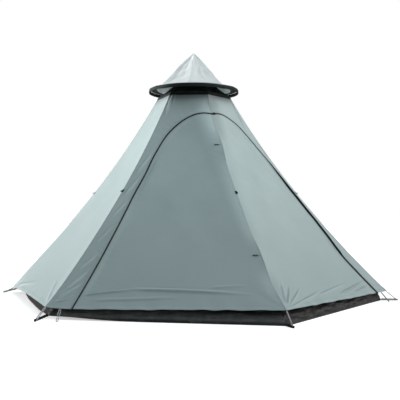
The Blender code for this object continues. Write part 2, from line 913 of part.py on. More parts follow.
def make_inner():
    names = (
        ("inner_left", "left_back", "left_front"),
        ("inner_front_left", "left_front", "front"),
        ("inner_front_right", "front", "right_front"),
        ("inner_right", "right_front", "right_back"),
        ("inner_back_right", "right_back", "back"),
        ("inner_back_left", "back", "left_back"),
    )
    for name, first, second in names:
        start, end = inner_side(first, second)
        if name != "inner_front_left":
            inner_sheet(name, start, end, PANEL_COLUMNS // 2, PANEL_ROWS // 2)
            continue
        panel = inner_sheet(name, start, end, PANEL_COLUMNS, PANEL_ROWS)
        combine(panel, inner_prism("door_hole", start, end, 0, 0), "DIFFERENCE")
        door = inner_sheet("inner_door", start, end, PANEL_COLUMNS, PANEL_ROWS)
        combine(door, inner_prism("door_shape", start, end, INNER_DOOR_GAP, INNER_DOOR_SEAM), "INTERSECT")
        make_inner_zip(start, end)

    def collar(u, v):
        angle = FRONT + u * 2 * math.pi
        high = POLE_RADIUS + SEAT + CLOTH
        radius = INNER_TOP_RADIUS + (high - INNER_TOP_RADIUS) * v
        shape = hexagon(angle, FRONT) * (1 - v) + v
        lift = CLOTH + SEAT + COLLAR_HEIGHT * v
        return polar(radius * shape, angle, INNER_TOP_HEIGHT + lift)

    make_sheet("inner_collar", 24, 2, collar)

    rings = 1

    def tub(u, v):
        angle = FRONT + u * 2 * math.pi
        corner = hexagon(angle, FRONT)
        row = round(v * (rings + 5))
        if row <= rings:
            return polar(FLOOR_RADIUS * corner * row / rings, angle, 0)
        climb = (row - rings - 1) / 4
        radius = FLOOR_RADIUS + (TUB_TOP_RADIUS - FLOOR_RADIUS) * climb
        wave = math.cos(6 * TUB_FOLDS * (angle - FRONT)) * TUB_FOLD * 4 * climb * (1 - climb)
        height = TUB_SEAM_HEIGHT + (TUB_HEIGHT - TUB_SEAM_HEIGHT) * climb
        return polar((radius + wave) * corner, angle, height)

    floor = make_sheet("tub_floor", 6 * TUB_FOLDS * 2, rings + 5, tub, thickness=TUB_CLOTH)
    patch_top = TUB_CLOTH + POLE_PATCH
    profile = [
        (0, patch_top),
        (POLE_PATCH_RADIUS - POLE_PATCH, patch_top),
        (POLE_PATCH_RADIUS, TUB_CLOTH / 2),
        (0, TUB_CLOTH / 2),
    ]
    combine(floor, make_turned("pole_patch", profile), "UNION")


def make_inner_zip(start, end):
    """A zip tape round the inner door, on the outer face, and the slider at its lower end."""
    reach = INNER_ZIP_WIDTH / 2
    rings = []
    outer = with_climb(inner_door_outline(-reach))
    inner = with_climb(inner_door_outline(reach))
    for (outer_x, outer_y), (inner_x, inner_y) in zip(outer, inner):
        ring = []
        for x, y, lift in (
            (outer_x, outer_y, 0),
            (inner_x, inner_y, 0),
            (inner_x, inner_y, INNER_ZIP_THICKNESS),
            (outer_x, outer_y, INNER_ZIP_THICKNESS),
        ):
            here, _, _, normal = on_inner(start, end, x, y)
            ring.append(here + normal * (INNER_ZIP_SEAT + lift))
        rings.append(ring)
    make_loft("inner_zip", rings)


def with_climb(outline):
    """The outline with more points up its two straight sides, where the cloth under it sags."""
    steps = 8

    def climb(low, high):
        (x, low_y), (_, high_y) = low, high
        return [(x, low_y + (high_y - low_y) * step / steps) for step in range(1, steps)]

    right = climb(outline[0], outline[1])
    left = climb(outline[-1], outline[-2])
    return outline[:1] + right + outline[1:-1] + left[::-1] + outline[-1:]


def make_inner_slider():
    origin, along, normal = inner_slide_line()
    build_slider("inner_slider", "inner_pull", origin, along, normal)


def inner_slide_line():
    start, end = inner_side("left_front", "front")
    first_up = INNER_DOOR_SILL + SLIDER_LENGTH
    low = on_inner(start, end, INNER_DOOR_HALF_WIDTH, first_up)
    high = on_inner(start, end, INNER_DOOR_HALF_WIDTH, first_up + SLIDER_TRAVEL)
    along = (high[0] - low[0]).normalized()
    normal = upright(along, low[3] + high[3])
    return low[0] + normal * (INNER_ZIP_SEAT + INNER_ZIP_THICKNESS), along, normal


# Toggles, guy loops and ground loops


def toggle_line(height):
    """A toggle's root on the left flap beside the front rib, the way it points, and the normal."""
    start, end = side_angles("left")
    s = FLY.share(height)
    root_share = (RIB_TAPE_HALF + SEAM_GAP + TOGGLE_CORD_RADIUS) / FLY.radius(s)
    here, by_q, _, normal = FLY.frame(start, end, root_share, s)
    reach = TOGGLE_RADIUS + CURVE_SEAT
    return here + normal * reach, by_q.normalized(), normal


def make_toggles():
    for label, height in TOGGLE_HEIGHTS.items():
        root, pointing, normal = toggle_line(height)
        tip = TOGGLE_CORD + TOGGLE_LENGTH
        round_off = TOGGLE_RADIUS / 3
        profile = [
            (0, tip),
            (TOGGLE_RADIUS - round_off, tip),
            (TOGGLE_RADIUS, tip - round_off),
            (TOGGLE_WAIST, TOGGLE_CORD + TOGGLE_LENGTH / 2),
            (TOGGLE_RADIUS, TOGGLE_CORD + round_off),
            (TOGGLE_RADIUS - round_off, TOGGLE_CORD),
            (TOGGLE_CORD_RADIUS, TOGGLE_CORD),
            (TOGGLE_CORD_RADIUS, 0),
            (0, 0),
        ]
        toggle = make_turned("toggle_" + label, profile, 12)
        side = normal.cross(pointing)
        toggle.matrix_world = basis(root, normal, side, pointing)


def stadium(length, half_width, steps=6):
    """A rounded slot outline from 0 to length along X."""
    points = []
    for centre, first in ((length - half_width, -90), (half_width, 90)):
        for step in range(steps + 1):
            turn = math.radians(first + 180 * step / steps)
            points.append((centre + half_width * math.cos(turn), half_width * math.sin(turn)))
    return points


def rib_frame(angle, s):
    """A rib's point, the way up it, sideways and outward."""
    here = FLY.rib(angle, s)
    up = (FLY.rib(angle, s + NUDGE_SHARE) - FLY.rib(angle, s - NUDGE_SHARE)).normalized()
    sideways = Vector((-math.sin(angle), math.cos(angle), 0))
    return here, up, sideways, sideways.cross(up)


def make_guy_loops():
    for name, angle in CORNER_ANGLES.items():
        here, up, _, outward = rib_frame(angle, FLY.share(GUY_HEIGHT))
        seat = CURVE_SEAT if angle == FRONT else GUY_SEAT
        half = GUY_LOOP_HEIGHT / 2
        inner = half - GUY_WEBBING
        hole = [(x + GUY_WEBBING, y) for x, y in stadium(GUY_LOOP_LENGTH - 2 * GUY_WEBBING, inner)]
        loop = make_outline("guy_loop_" + name, [stadium(GUY_LOOP_LENGTH, half), hole], GUY_LOOP_WIDTH)
        loop.matrix_world = basis(here + outward * seat, outward, up, outward.cross(up))


def ring_points(start, end, across, half_width, steps=4):
    """A closed cord loop from start to end, its two strands half_width either side."""
    direction = (end - start).normalized()
    points = []
    for centre, sign in ((end - direction * half_width, 1), (start + direction * half_width, -1)):
        for step in range(steps + 1):
            turn = math.radians(-90 + 180 * step / steps)
            along = direction * half_width * math.cos(turn) * sign
            points.append(centre + along + across * half_width * math.sin(turn) * sign)
    return points


def make_peg_loops():
    for name, angle in CORNER_ANGLES.items():
        outward = Vector((math.cos(angle), math.sin(angle), 0))
        across = Vector((-math.sin(angle), math.cos(angle), 0))
        drop = Vector((0, 0, CLOTH + SEAT + PEG_LOOP_CORD))
        start = outward * (CORNER_RADIUS - CLOTH) + Vector((0, 0, CORNER_HEIGHT)) - drop
        end = outward * PEG_RADIUS + Vector((0, 0, PEG_LOOP_LIFT))
        points = ring_points(start, end, across, PEG_LOOP_HALF_WIDTH)
        make_tube("fly_peg_loop_" + name, points, PEG_LOOP_CORD, 1, cyclic=True)

        reach = PEG_RADIUS + FLOOR_LOOP_HALF_WIDTH - FLOOR_RADIUS - SEAT
        outer = stadium(reach, FLOOR_LOOP_HALF_WIDTH)
        inner_half = FLOOR_LOOP_HALF_WIDTH - FLOOR_LOOP_WEBBING
        hole = [
            (x + FLOOR_LOOP_WEBBING, y)
            for x, y in stadium(reach - 2 * FLOOR_LOOP_WEBBING, inner_half)
        ]
        strap = make_outline("floor_peg_loop_" + name, [outer, hole], FLOOR_LOOP_THICKNESS)
        foot = outward * (FLOOR_RADIUS + SEAT) + Vector((0, 0, FLOOR_LOOP_THICKNESS / 2))
        strap.matrix_world = basis(foot, outward, across, Vector((0, 0, 1)))

    for side in SIDES:
        start_angle, end_angle = side_angles(side)
        hem, by_q, _, normal = FLY.frame(start_angle, end_angle, ZIP_LOOP_SHARE, 0)
        middle = (start_angle + end_angle) / 2
        outward = Vector((math.cos(middle), math.sin(middle), 0))
        drop = Vector((0, 0, CLOTH + SEAT + PEG_LOOP_CORD))
        start = hem - outward * CLOTH - drop
        end = hem + outward * ZIP_LOOP_REACH
        end.z = PEG_LOOP_CORD
        points = ring_points(start, end, by_q.normalized(), PEG_LOOP_HALF_WIDTH)
        make_tube("zip_peg_loop_" + side, points, PEG_LOOP_CORD, 1, cyclic=True)


# Moving pieces


def hang_doors():
    """Puts each moving piece under an empty on the axis that it moves about."""
    for side in SIDES:
        rib_foot = FLY.rib(FRONT, 0)
        carried = ["door_flap_" + side, "zip_flap_" + side]
        door = hang("door_hinge_" + side, rib_foot, carried)
        if side == "left":
            for label in TOGGLE_HEIGHTS:
                toggle = bpy.data.objects["toggle_" + label]
                toggle.parent = door
                toggle.matrix_parent_inverse = Matrix.Translation(-rib_foot)
        origin, _, normal = slide_line(side)
        hang("zip_slide_" + side, origin, ["zip_slider_" + side])
        hang("zip_pull_pivot_" + side, origin + normal * slider_pivot_lift(), ["zip_pull_" + side])
    start, end = inner_side("left_front", "front")
    hang("inner_door_hinge", inner_sill(start, end), ["inner_door"])
    origin, _, normal = inner_slide_line()
    hang("inner_slide", origin, ["inner_slider"])
    hang("inner_pull_pivot", origin + normal * slider_pivot_lift(), ["inner_pull"])


# Assembly


def clear_scene():
    for existing in list(bpy.data.objects):
        bpy.data.objects.remove(existing, do_unlink=True)


def new_collection(name):
    collection = bpy.data.collections.new(name)
    bpy.context.scene.collection.children.link(collection)
    return collection


clear_scene()
PARTS = new_collection("pyramid_tent")
CUTTERS = new_collection("cutters")


def main():
    make_plain_panels()
    make_front()
    make_zips()
    make_vent()
    make_pole()
    make_inner()
    make_inner_slider()
    make_toggles()
    make_guy_loops()
    make_peg_loops()
    hang_doors()


main()
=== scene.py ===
"""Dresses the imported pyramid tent: cloth, zips, hood, floor wall, loops, finishes and studio."""

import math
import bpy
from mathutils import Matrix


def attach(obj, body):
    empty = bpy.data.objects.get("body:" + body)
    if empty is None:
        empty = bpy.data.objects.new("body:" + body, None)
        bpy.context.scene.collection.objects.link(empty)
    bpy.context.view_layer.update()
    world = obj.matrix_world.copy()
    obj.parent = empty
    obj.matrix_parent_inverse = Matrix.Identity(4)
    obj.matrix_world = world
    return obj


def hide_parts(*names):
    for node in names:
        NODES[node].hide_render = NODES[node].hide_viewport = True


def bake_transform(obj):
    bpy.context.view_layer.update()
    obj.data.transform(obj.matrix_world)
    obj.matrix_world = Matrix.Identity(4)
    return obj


bl_info = {
    "name": "Pyramid Tent",
    "version": (1, 0, 0),
    "blender": (4, 5, 0),
    "location": "View3D > Sidebar > Tent",
    "description": "Builds the cloth, trim, finishes and studio of a six-sided pyramid tent",
    "category": "Object",
}

import bmesh
import bpy
import numpy as np
from bpy.props import FloatProperty, FloatVectorProperty, PointerProperty
from bpy.types import Operator, Panel, PropertyGroup
from mathutils import Matrix, Vector

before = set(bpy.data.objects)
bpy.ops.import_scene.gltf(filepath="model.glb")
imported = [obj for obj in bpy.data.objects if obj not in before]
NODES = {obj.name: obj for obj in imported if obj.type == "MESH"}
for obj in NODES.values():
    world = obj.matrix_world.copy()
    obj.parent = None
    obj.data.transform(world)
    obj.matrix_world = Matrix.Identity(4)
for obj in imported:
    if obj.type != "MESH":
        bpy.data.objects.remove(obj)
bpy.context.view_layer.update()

# The fly's sizes, as the CAD part has them
CORNER_RADIUS, CORNER_HEIGHT = 1.83, 0.085
NECK_RADIUS, NECK_HEIGHT = 0.345, 1.945
RIB_SAG, PANEL_SAG, HEM_RISE = 0.105, 0.022, 0.010
CLOTH = 0.0012
DOOR_SHARE, DOOR_SPRING, DOOR_TOP = 0.885, 1.20, 1.736
ZIP_TAPE_HALF, ZIP_END, RIB_TAPE_HALF = 0.016, 0.005, 0.012
TOGGLE_HEIGHTS = 1.4209, 0.4900
GUY_HEIGHT = 1.005
POLE_HOLE = 0.0111
HOOD_FOOT, HOOD_TIP, HOOD_SLANT, BRIM_RADIUS = 2.0072, 2.367, 0.55, 0.430
FRONT = 270
FRONT_TURN = math.radians(FRONT)
HOOD_CORNER = FRONT_TURN + math.radians(30)
CORNERS = {
    "left_back": 150,
    "left_front": 210,
    "front": 270,
    "right_front": 330,
    "right_back": 390,
    "back": 450,
}
SIDES = {"left": -1, "right": 1}
# How far each corner of the fly is pitched above or below its even height, and the floor's corners
CORNER_LIFT = {150: -0.028, 210: 0.016, 270: 0.030, 330: 0.003}
FLOOR_CORNERS = {150: 1.735, 210: 1.800, 270: 1.832, 330: 1.782, 390: 1.763, 450: 1.763}
FLOOR_LIFT = {150: 0.050, 210: 0.028}
# How far out the loops of the fly and of the floor reach at a corner's peg
CORD_REACH, STRAP_REACH = 1.925, 1.934

# The strip beside the middle rib in which an opened flap leaves the tent
HINGE_START, HINGE_END = 0.0118, 0.0142
HINGE_COLUMNS, FLAP_COLUMNS = 8, 140

# How short sheets and hems stop of a rib, hems of the zip's edge, and how seams and welts lie
SEAM_INSET, HEM_INSET, HEM_CLEAR = 0.0008, 0.0006, 0.002
SEAM_LIFT, WELT_OVERLAP = 0.0002, 0.0005
# How much the fly's radius grows for each metre below the neck
NECK_FLARE = 0.573
MERGE = 0.00002

SKIN_SLANT = math.hypot(CORNER_RADIUS - NECK_RADIUS, NECK_HEIGHT - CORNER_HEIGHT)


# Shapes of the cloth, worked out for whole arrays of points at once


def smooth(value, low, high):
    """0 below low, 1 above high and an even rise between them."""
    share = np.clip((value - low) / (high - low), 0, 1)
    return share * share * (3 - 2 * share)


def unit(vectors):
    return vectors / np.linalg.norm(vectors, axis=-1, keepdims=True)


def swell(share, margin):
    """How full a folded strip stands at a share of its width, 1 in its middle."""
    return np.sqrt(np.sin(math.pi * np.clip(share, margin, 1 - margin)))


def rounded_top(share):
    """The round back of a seam at a share of its width, 1 in its middle."""
    return np.sqrt(np.clip(1 - (1.96 * (share - 0.5)) ** 2, 0, 1))


def full_turn(u):
    """The angle at a share of the way round the pole, from the front."""
    return FRONT_TURN + u * 2 * math.pi


def ringed(turn, width, height):
    """Points round the pole's axis."""
    return np.stack([width * np.cos(turn), width * np.sin(turn), height], 1)


def hexagon(turn, corner):
    """The outline of a hexagon of corner radius 1 at an angle, with a corner at corner."""
    step = math.radians(60)
    off = np.mod(turn - corner, step) - step / 2
    return math.cos(step / 2) / np.cos(off)


def off_corner(turn, corner):
    """How far an angle is from the nearest corner of that hexagon."""
    step = math.radians(60)
    return np.abs(np.mod(turn - corner + step / 2, step) - step / 2)


def unevenness(x, y, length, seed, stretch=1.0):
    """A seeded soft unevenness between about -1 and 1, whose waves are about length long."""
    draw = np.random.default_rng(seed)
    total = 0
    for _ in range(9):
        heading = draw.uniform(0, 2 * math.pi)
        wave = 2 * math.pi / length * draw.uniform(0.55, 1.7)
        total = total + np.sin(
            wave * (x * math.cos(heading) + y * stretch * math.sin(heading))
            + draw.uniform(0, 2 * math.pi)
        )
    return total / 3.2


class Skin:
    """A six-sided sagging pyramid between a foot and a top, each given as radius and height."""

    def __init__(self, foot, top, rib_sag, panel_sag, hem_rise):
        self.foot, self.top = foot, top
        self.rib_sag, self.panel_sag, self.hem_rise = rib_sag, panel_sag, hem_rise

    def radius(self, s):
        return self.foot[0] + (self.top[0] - self.foot[0]) * s - 4 * self.rib_sag * s * (1 - s)

    def height(self, s):
        return self.foot[1] + (self.top[1] - self.foot[1]) * s

    def share(self, height):
        return (height - self.foot[1]) / (self.top[1] - self.foot[1])

    def slant(self):
        return math.hypot(self.foot[0] - self.top[0], self.top[1] - self.foot[1])


def corner_value(table, angle):
    """A corner's entry in a table by its angle, 0 where it has none."""
    turn = round(math.degrees(angle))
    return table.get(turn, table.get(turn + 360, table.get(turn - 360, 0.0)))


FLY = Skin(
    (CORNER_RADIUS, CORNER_HEIGHT), (NECK_RADIUS, NECK_HEIGHT), RIB_SAG, PANEL_SAG, HEM_RISE
)
INNER = Skin((1.700, 0.1516), (0.060, 2.020), 0.090, 0.018, 0)


class Side:
    """One side of a skin between two ribs, q from the first rib to the second and s upwards."""

    def __init__(self, skin, first, second, seed=0, folds=(), door=None):
        self.skin, self.seed, self.folds, self.door = skin, seed, folds, door
        self.first, self.second = math.radians(first), math.radians(second)
        self.middle = (self.first + self.second) / 2
        self.swapped = self.second < self.first

    def across(self, u):
        """A grid's share of the width as q, turned so that its face points outwards."""
        return 1 - u if self.swapped else u

    def bare(self, q, s):
        """The plain sagging surface of the CAD part."""
        skin = self.skin
        radius = skin.radius(s)
        bow = 4 * q * (1 - q)
        start = np.array((math.cos(self.first), math.sin(self.first)))
        end = np.array((math.cos(self.second), math.sin(self.second)))
        inward = -np.array((math.cos(self.middle), math.sin(self.middle)))
        depth = skin.panel_sag * bow * 4 * s * (1 - s)
        flat = radius[..., None] * (start + (end - start) * q[..., None])
        flat = flat + inward * depth[..., None]
        height = skin.height(s) + skin.hem_rise * bow * (1 - s) ** 6
        if skin is FLY:
            low = np.clip(1 - s / 0.2, 0, 1) ** 3
            for degrees, share in ((self.first, q), (self.second, 1 - q)):
                lift = corner_value(CORNER_LIFT, degrees)
                near = self.corner_reach(degrees)
                height = height + lift * low * np.clip(1 - share / near, 0, 1) ** 2
        return np.concatenate([flat, height[..., None]], axis=-1)

    def corner_reach(self, degrees):
        """How much of the side a corner's lift spreads over; it never reaches a zip."""
        if self.door is None:
            return 0.75
        return 0.80 if round(math.degrees(degrees)) == FRONT else 0.105

    def slopes(self, q, s):
        """The two slopes of the surface, by q and by s, and its outward normal."""
        step = 0.0005
        by_q = (self.bare(q + step, s) - self.bare(q - step, s)) / (2 * step)
        by_s = (self.bare(q, s + step) - self.bare(q, s - step)) / (2 * step)
        normal = unit(np.cross(by_q, by_s))
        return by_q, by_s, -normal if self.swapped else normal

    def metres(self, q, s):
        """Where a point lies on the cloth: across it from its middle, and up it, in metres."""
        return (q - 0.5) * self.skin.radius(s), s * self.skin.slant()

    def drape(self, q, s):
        """How far folds, puckers and slack lift the cloth from the plain surface."""
        sizes = bpy.context.scene.tent_sizes
        width = self.skin.radius(s)
        up = s * self.skin.slant()
        x = q * width
        edge = np.minimum(x, width - x)
        top = self.skin.slant() - up
        inside = smooth(edge, 0.010, 0.22) * smooth(top, 0.0, 0.20)
        slack = unevenness(x, up, 0.95, self.seed, 0.55) * inside * smooth(up, -0.05, 0.25)
        lift = sizes.slack * slack
        seam = smooth(edge, 0.009, 0.024) * np.exp(-np.maximum(edge - 0.012, 0) / 0.055)
        beat = np.sin(2 * math.pi * up / 0.075 + 2.5 * unevenness(x, up, 0.5, self.seed + 7))
        gathers = 0.5 + 0.5 * unevenness(up, up * 0, 0.45, self.seed + 3)
        lift = lift + sizes.pucker * beat * gathers * seam * smooth(up, 0.02, 0.15)
        low = np.exp(-up / 0.07) * smooth(edge, 0.02, 0.20)
        lift = lift + sizes.hem_wave * unevenness(x, up * 0, 0.24, self.seed + 5) * low
        # Folds fan out from the corners, and smaller ones from the neck
        for away, share, beats, phase, fade, start, full, inset in (
            (up, 1.0, 9, self.seed, 0.24, 0.03, 0.14, 0.05),
            (top, 0.7, 11, 2 * self.seed, 0.16, 0.02, 0.08, 0.04),
        ):
            for pull in (x, width - x):
                reach = np.hypot(pull, away)
                turn = np.arctan2(away, np.maximum(pull, 1e-6))
                rays = np.sin(turn * beats + phase) * np.exp(-reach / fade)
                rays = rays * smooth(reach, start, full) * smooth(edge, 0.009, inset)
                lift = lift + share * sizes.corner_fold * rays
        for (q0, s0), (q1, s1), half, height, skew in self.folds:
            ax, ay = q0 * self.skin.radius(s0), s0 * self.skin.slant()
            bx, by = q1 * self.skin.radius(s1), s1 * self.skin.slant()
            length = math.hypot(bx - ax, by - ay)
            ux, uy = (bx - ax) / length, (by - ay) / length
            run = ((x - ax) * ux + (up - ay) * uy) / length
            off = ((x - ax) * uy - (up - ay) * ux) / half
            ends = smooth(run, 0, 0.22) * (1 - smooth(run, 0.55, 1))
            crest = np.exp(-off * off) * (1 + skew * off)
            lift = lift + height * crest * ends * smooth(edge, 0.008, 0.03)
        if self.door is not None:
            lift = self.door.calm(self, q, s, lift)
        return lift

    def place(self, q, s, lift=0.0, dressed=True):
        """Points of the dressed cloth, lifted off it by a distance."""
        q, s = np.broadcast_arrays(np.asarray(q, float), np.asarray(s, float))
        normal = self.slopes(q, s)[2]
        rise = (self.drape(q, s) if dressed else 0) + np.asarray(lift, float)
        points = self.bare(q, s) + normal * np.broadcast_to(rise, q.shape)[..., None]
        if dressed and self.door is not None:
            points = points + self.rounded(q * FLY.radius(s), s)
        return points

    def rounded(self, x, s):
        """How the cloth is moved where the middle rib's ridge is rounded off."""
        normal = self.slopes(np.zeros_like(s), s)[2]
        along = np.array([-math.sin(self.first), math.cos(self.first), 0.0])
        outward = unit(normal - (normal @ along)[..., None] * along)
        return outward * rounding(x, s * SKIN_SLANT)[..., None]


def rounding(x, up):
    """The middle rib has no pole under it: its ridge is rounded, but not where a toggle pulls."""
    sizes = bpy.context.scene.tent_sizes
    reach = 0.125 + 0.045 * smooth(up, 0.9, 1.8)
    free = smooth(up, 0.04, 0.30) * (1 - smooth(up, SKIN_SLANT - 0.16, SKIN_SLANT - 0.01))
    for height in TOGGLE_HEIGHTS:
        at = FLY.share(height) * SKIN_SLANT
        free = free * smooth(np.abs(up - at), 0.016, 0.26)
    return -sizes.ridge * np.maximum(reach - x, 0) ** 2 / (2 * reach) * free


class DoorLine:
    """The zip's line on a front side, by the distance along it from the hem.

    Above the slider's travel the cloth's own pull carries the line off its drawn course.
    """

    def __init__(self, power, pulls, gap, wider, ridge):
        self.gap, self.wider, self.ridge = gap, wider, ridge
        spring, top = FLY.share(DOOR_SPRING), FLY.share(DOOR_TOP)
        straight = np.linspace(0, spring, 121)[:-1]
        turn = np.linspace(0, math.pi / 2, 721)
        rise = np.sin(turn) ** (2 / power)
        across = np.clip(np.cos(turn), 0, 1) ** (2 / power)
        self.s = np.concatenate([straight, spring + (top - spring) * rise])
        arch_q = np.maximum(DOOR_SHARE * across, ZIP_END / FLY.radius(self.s[len(straight) :]))
        self.q = np.concatenate([np.full(len(straight), DOOR_SHARE), arch_q])
        for pull, low, full, fall, end in pulls:
            self.q += pull * smooth(self.s, low, full) * (1 - smooth(self.s, fall, end))
        self.side = Side(FLY, FRONT, FRONT + 60, door=self)
        points = self.side.bare(self.q, self.s)
        steps = np.linalg.norm(np.diff(points, axis=0), axis=1)
        self.run = np.concatenate([[0], np.cumsum(steps)])
        self.length = float(self.run[-1])
        x, up = self.q * FLY.radius(self.s), self.s * SKIN_SLANT
        pick = slice(0, None, 6)
        self.line_x, self.line_up, self.line_run = x[pick], up[pick], self.run[pick]

    def at(self, run, off):
        """(q, s) at a distance along the line and a distance sideways, away from the door."""
        run, off = np.broadcast_arrays(np.asarray(run, float), np.asarray(off, float))
        step = 0.004
        q, s = np.interp(run, self.run, self.q), np.interp(run, self.run, self.s)
        late, early = np.minimum(run + step, self.length), np.maximum(run - step, 0)
        turn_q = np.interp(late, self.run, self.q) - np.interp(early, self.run, self.q)
        turn_s = np.interp(late, self.run, self.s) - np.interp(early, self.run, self.s)
        by_q, by_s, normal = self.side.slopes(q, s)
        along = unit(by_q * turn_q[..., None] + by_s * turn_s[..., None])
        sideways = np.cross(along, normal)
        qq, qs, ss = (by_q * by_q).sum(-1), (by_q * by_s).sum(-1), (by_s * by_s).sum(-1)
        move_q, move_s = (by_q * sideways).sum(-1) * off, (by_s * sideways).sum(-1) * off
        scale = qq * ss - qs * qs
        q = q + (move_q * ss - move_s * qs) / scale
        s = s + (move_s * qq - move_q * qs) / scale
        return q, np.maximum(s, 0)

    def edge(self, run, off):
        """A line beside the zip that keeps clear of it where the zip's gap opens wider."""
        wider = self.wider * np.interp(run, (0.36, 0.52, 1.25, 1.60), (1.15, 1.0, 1.0, 0.0))
        return self.at(run, off + np.sign(off) * wider)

    def off_line(self, q, s):
        """How far points lie from the line, and how far up the line their nearest point is."""
        x, up = np.ravel(q * FLY.radius(s)), np.ravel(s * SKIN_SLANT)
        nearest = np.hypot(x[:, None] - self.line_x, up[:, None] - self.line_up).argmin(axis=1)
        gap, run = np.full(len(x), 9.0), np.zeros(len(x))
        for first in (np.maximum(nearest - 1, 0), np.minimum(nearest, len(self.line_x) - 2)):
            left, low = x - self.line_x[first], up - self.line_up[first]
            step_x = self.line_x[first + 1] - self.line_x[first]
            step_up = self.line_up[first + 1] - self.line_up[first]
            share = np.clip((left * step_x + low * step_up) / (step_x**2 + step_up**2), 0, 1)
            away = np.hypot(left - share * step_x, low - share * step_up)
            along = self.line_run[first] + share * (self.line_run[first + 1] - self.line_run[first])
            run = np.where(away < gap, along, run)
            gap = np.minimum(away, gap)
        return gap.reshape(q.shape), run.reshape(q.shape)

    def calm(self, side, q, s, lift):
        """Quietens the cloth along the zip and adds the small puckers that its sewing pulls."""
        sizes = bpy.context.scene.tent_sizes
        gap, run = self.off_line(q, s)
        x = q * FLY.radius(s)
        beat = np.sin(2 * math.pi * run / 0.062 + 2.2 * unevenness(run, gap, 0.4, side.seed + 11))
        some = 0.55 + 0.45 * unevenness(run, run * 0, 0.55, side.seed + 13)
        near = smooth(gap, 0.016, 0.030) * np.exp(-np.maximum(gap - 0.02, 0) / 0.045)
        middle = smooth(x, 0.02, 0.10)
        pull = sizes.zip_pucker * beat * some * near * smooth(run, 0.06, 0.30) * middle
        sway = sizes.zip_sway * unevenness(run, run * 0, 0.35, side.seed + 17)
        sway = sway * smooth(run, 0.42, 0.62) * np.exp(-((gap / 0.09) ** 2)) * middle
        ridge = self.ridge * smooth(s, 0.155, 0.20) * (1 - smooth(s, 0.58, 0.76))
        return lift * smooth(gap, 0.014, 0.050) + pull + sway + ridge * np.exp(-((gap / 0.0115) ** 2))


DOORS = {
    "left": DoorLine(2.5, [(-0.026, 0.45, 0.62, 0.68, 0.80)], 0.0078, 0.0, 0.0),
    "right": DoorLine(3.0, [(0.054, 0.155, 0.38, 0.50, 0.82)], 0.0085, 0.0105, 0.0160),
}


def flap_zip(line):
    """Where a flap's zip starts and ends, as distances along its line."""
    return 0.026, line.length - 0.022


# Folds as first point, last point (both q and s), half width, height and lean
LEFT_FOLDS = (
    ((0.880, 0.052), (0.62, 0.082), 0.010, 0.0119, -1.0),
    ((0.70, 0.080), (0.08, 0.064), 0.015, 0.0112, -1.0),
    ((0.84, 0.030), (0.40, 0.045), 0.014, 0.0071, 0.8),
    ((0.30, 0.085), (0.12, 0.100), 0.012, 0.0048, -0.8),
    ((0.985, 0.030), (0.900, 0.105), 0.0080, 0.0085, 0.9),
    ((0.985, 0.018), (0.902, 0.062), 0.0070, 0.0078, -0.9),
    ((0.960, 0.022), (0.905, 0.040), 0.0060, 0.0068, 0.8),
    ((0.975, 0.060), (0.900, 0.165), 0.0095, 0.0068, 0.8),
    ((0.975, 0.140), (0.905, 0.230), 0.0090, 0.0051, 0.7),
    ((0.970, 0.260), (0.905, 0.350), 0.0090, 0.0051, 0.7),
    ((0.970, 0.380), (0.905, 0.460), 0.0090, 0.0048, -0.7),
    ((0.965, 0.470), (0.900, 0.560), 0.0090, 0.0051, 0.7),
    ((0.960, 0.570), (0.880, 0.680), 0.0090, 0.0058, 0.7),
    ((0.955, 0.992), (0.925, 0.86), 0.0060, 0.0102, 0.9),
    ((0.915, 0.992), (0.900, 0.88), 0.0060, 0.0102, -0.9),
    ((0.860, 0.992), (0.865, 0.91), 0.0070, 0.0068, 0.8),
    ((0.60, 0.40), (0.15, 0.62), 0.085, 0.0050, 0.4),
    ((0.30, 0.22), (0.62, 0.48), 0.100, 0.0045, 0.4),
)
RIGHT_FOLDS = (
    ((0.012, 0.018), (0.075, 0.120), 0.0095, 0.0081, 0.9),
    ((0.016, 0.014), (0.140, 0.100), 0.0100, 0.0086, 0.9),
    ((0.022, 0.011), (0.235, 0.085), 0.0100, 0.0076, 0.9),
    ((0.026, 0.008), (0.380, 0.052), 0.0120, 0.0081, 0.9),
    ((0.30, 0.034), (0.70, 0.066), 0.0100, 0.0054, 0.9),
    ((0.50, 0.020), (0.875, 0.055), 0.0100, 0.0128, -1.0),
    ((0.66, 0.018), (0.875, 0.036), 0.0075, 0.0101, -1.0),
    ((0.905, 0.040), (0.990, 0.015), 0.0080, 0.0054, 0.8),
    ((0.60, 0.62), (0.30, 0.36), 0.075, 0.0050, 0.5),
    ((0.20, 0.55), (0.62, 0.22), 0.090, 0.0045, 0.4),
    ((0.960, 0.985), (0.880, 0.80), 0.0100, 0.0068, 0.8),
)
OTHER_FOLDS = (
    ((0.03, 0.015), (0.20, 0.120), 0.014, 0.0050, 0.8),
    ((0.97, 0.015), (0.80, 0.110), 0.014, 0.0050, -0.8),
    ((0.04, 0.010), (0.52, 0.060), 0.020, 0.0045, 0.8),
    ((0.35, 0.30), (0.75, 0.62), 0.090, 0.0040, 0.4),
    ((0.95, 0.985), (0.70, 0.80), 0.014, 0.0040, 0.6),
    ((0.06, 0.985), (0.25, 0.82), 0.014, 0.0040, -0.6),
)
FLY_SIDES = {
    "left": Side(FLY, 150, 210, 21, OTHER_FOLDS),
    "right": Side(FLY, 330, 390, 34, OTHER_FOLDS),
    "back_right": Side(FLY, 390, 450, 45, OTHER_FOLDS),
    "back_left": Side(FLY, 90, 150, 56, OTHER_FOLDS),
    "front_left": Side(FLY, FRONT, FRONT - 60, 67, LEFT_FOLDS, DOORS["left"]),
    "front_right": Side(FLY, FRONT, FRONT + 60, 78, RIGHT_FOLDS, DOORS["right"]),
}


# Meshes


def deselect():
    bpy.ops.object.select_all(action="DESELECT")


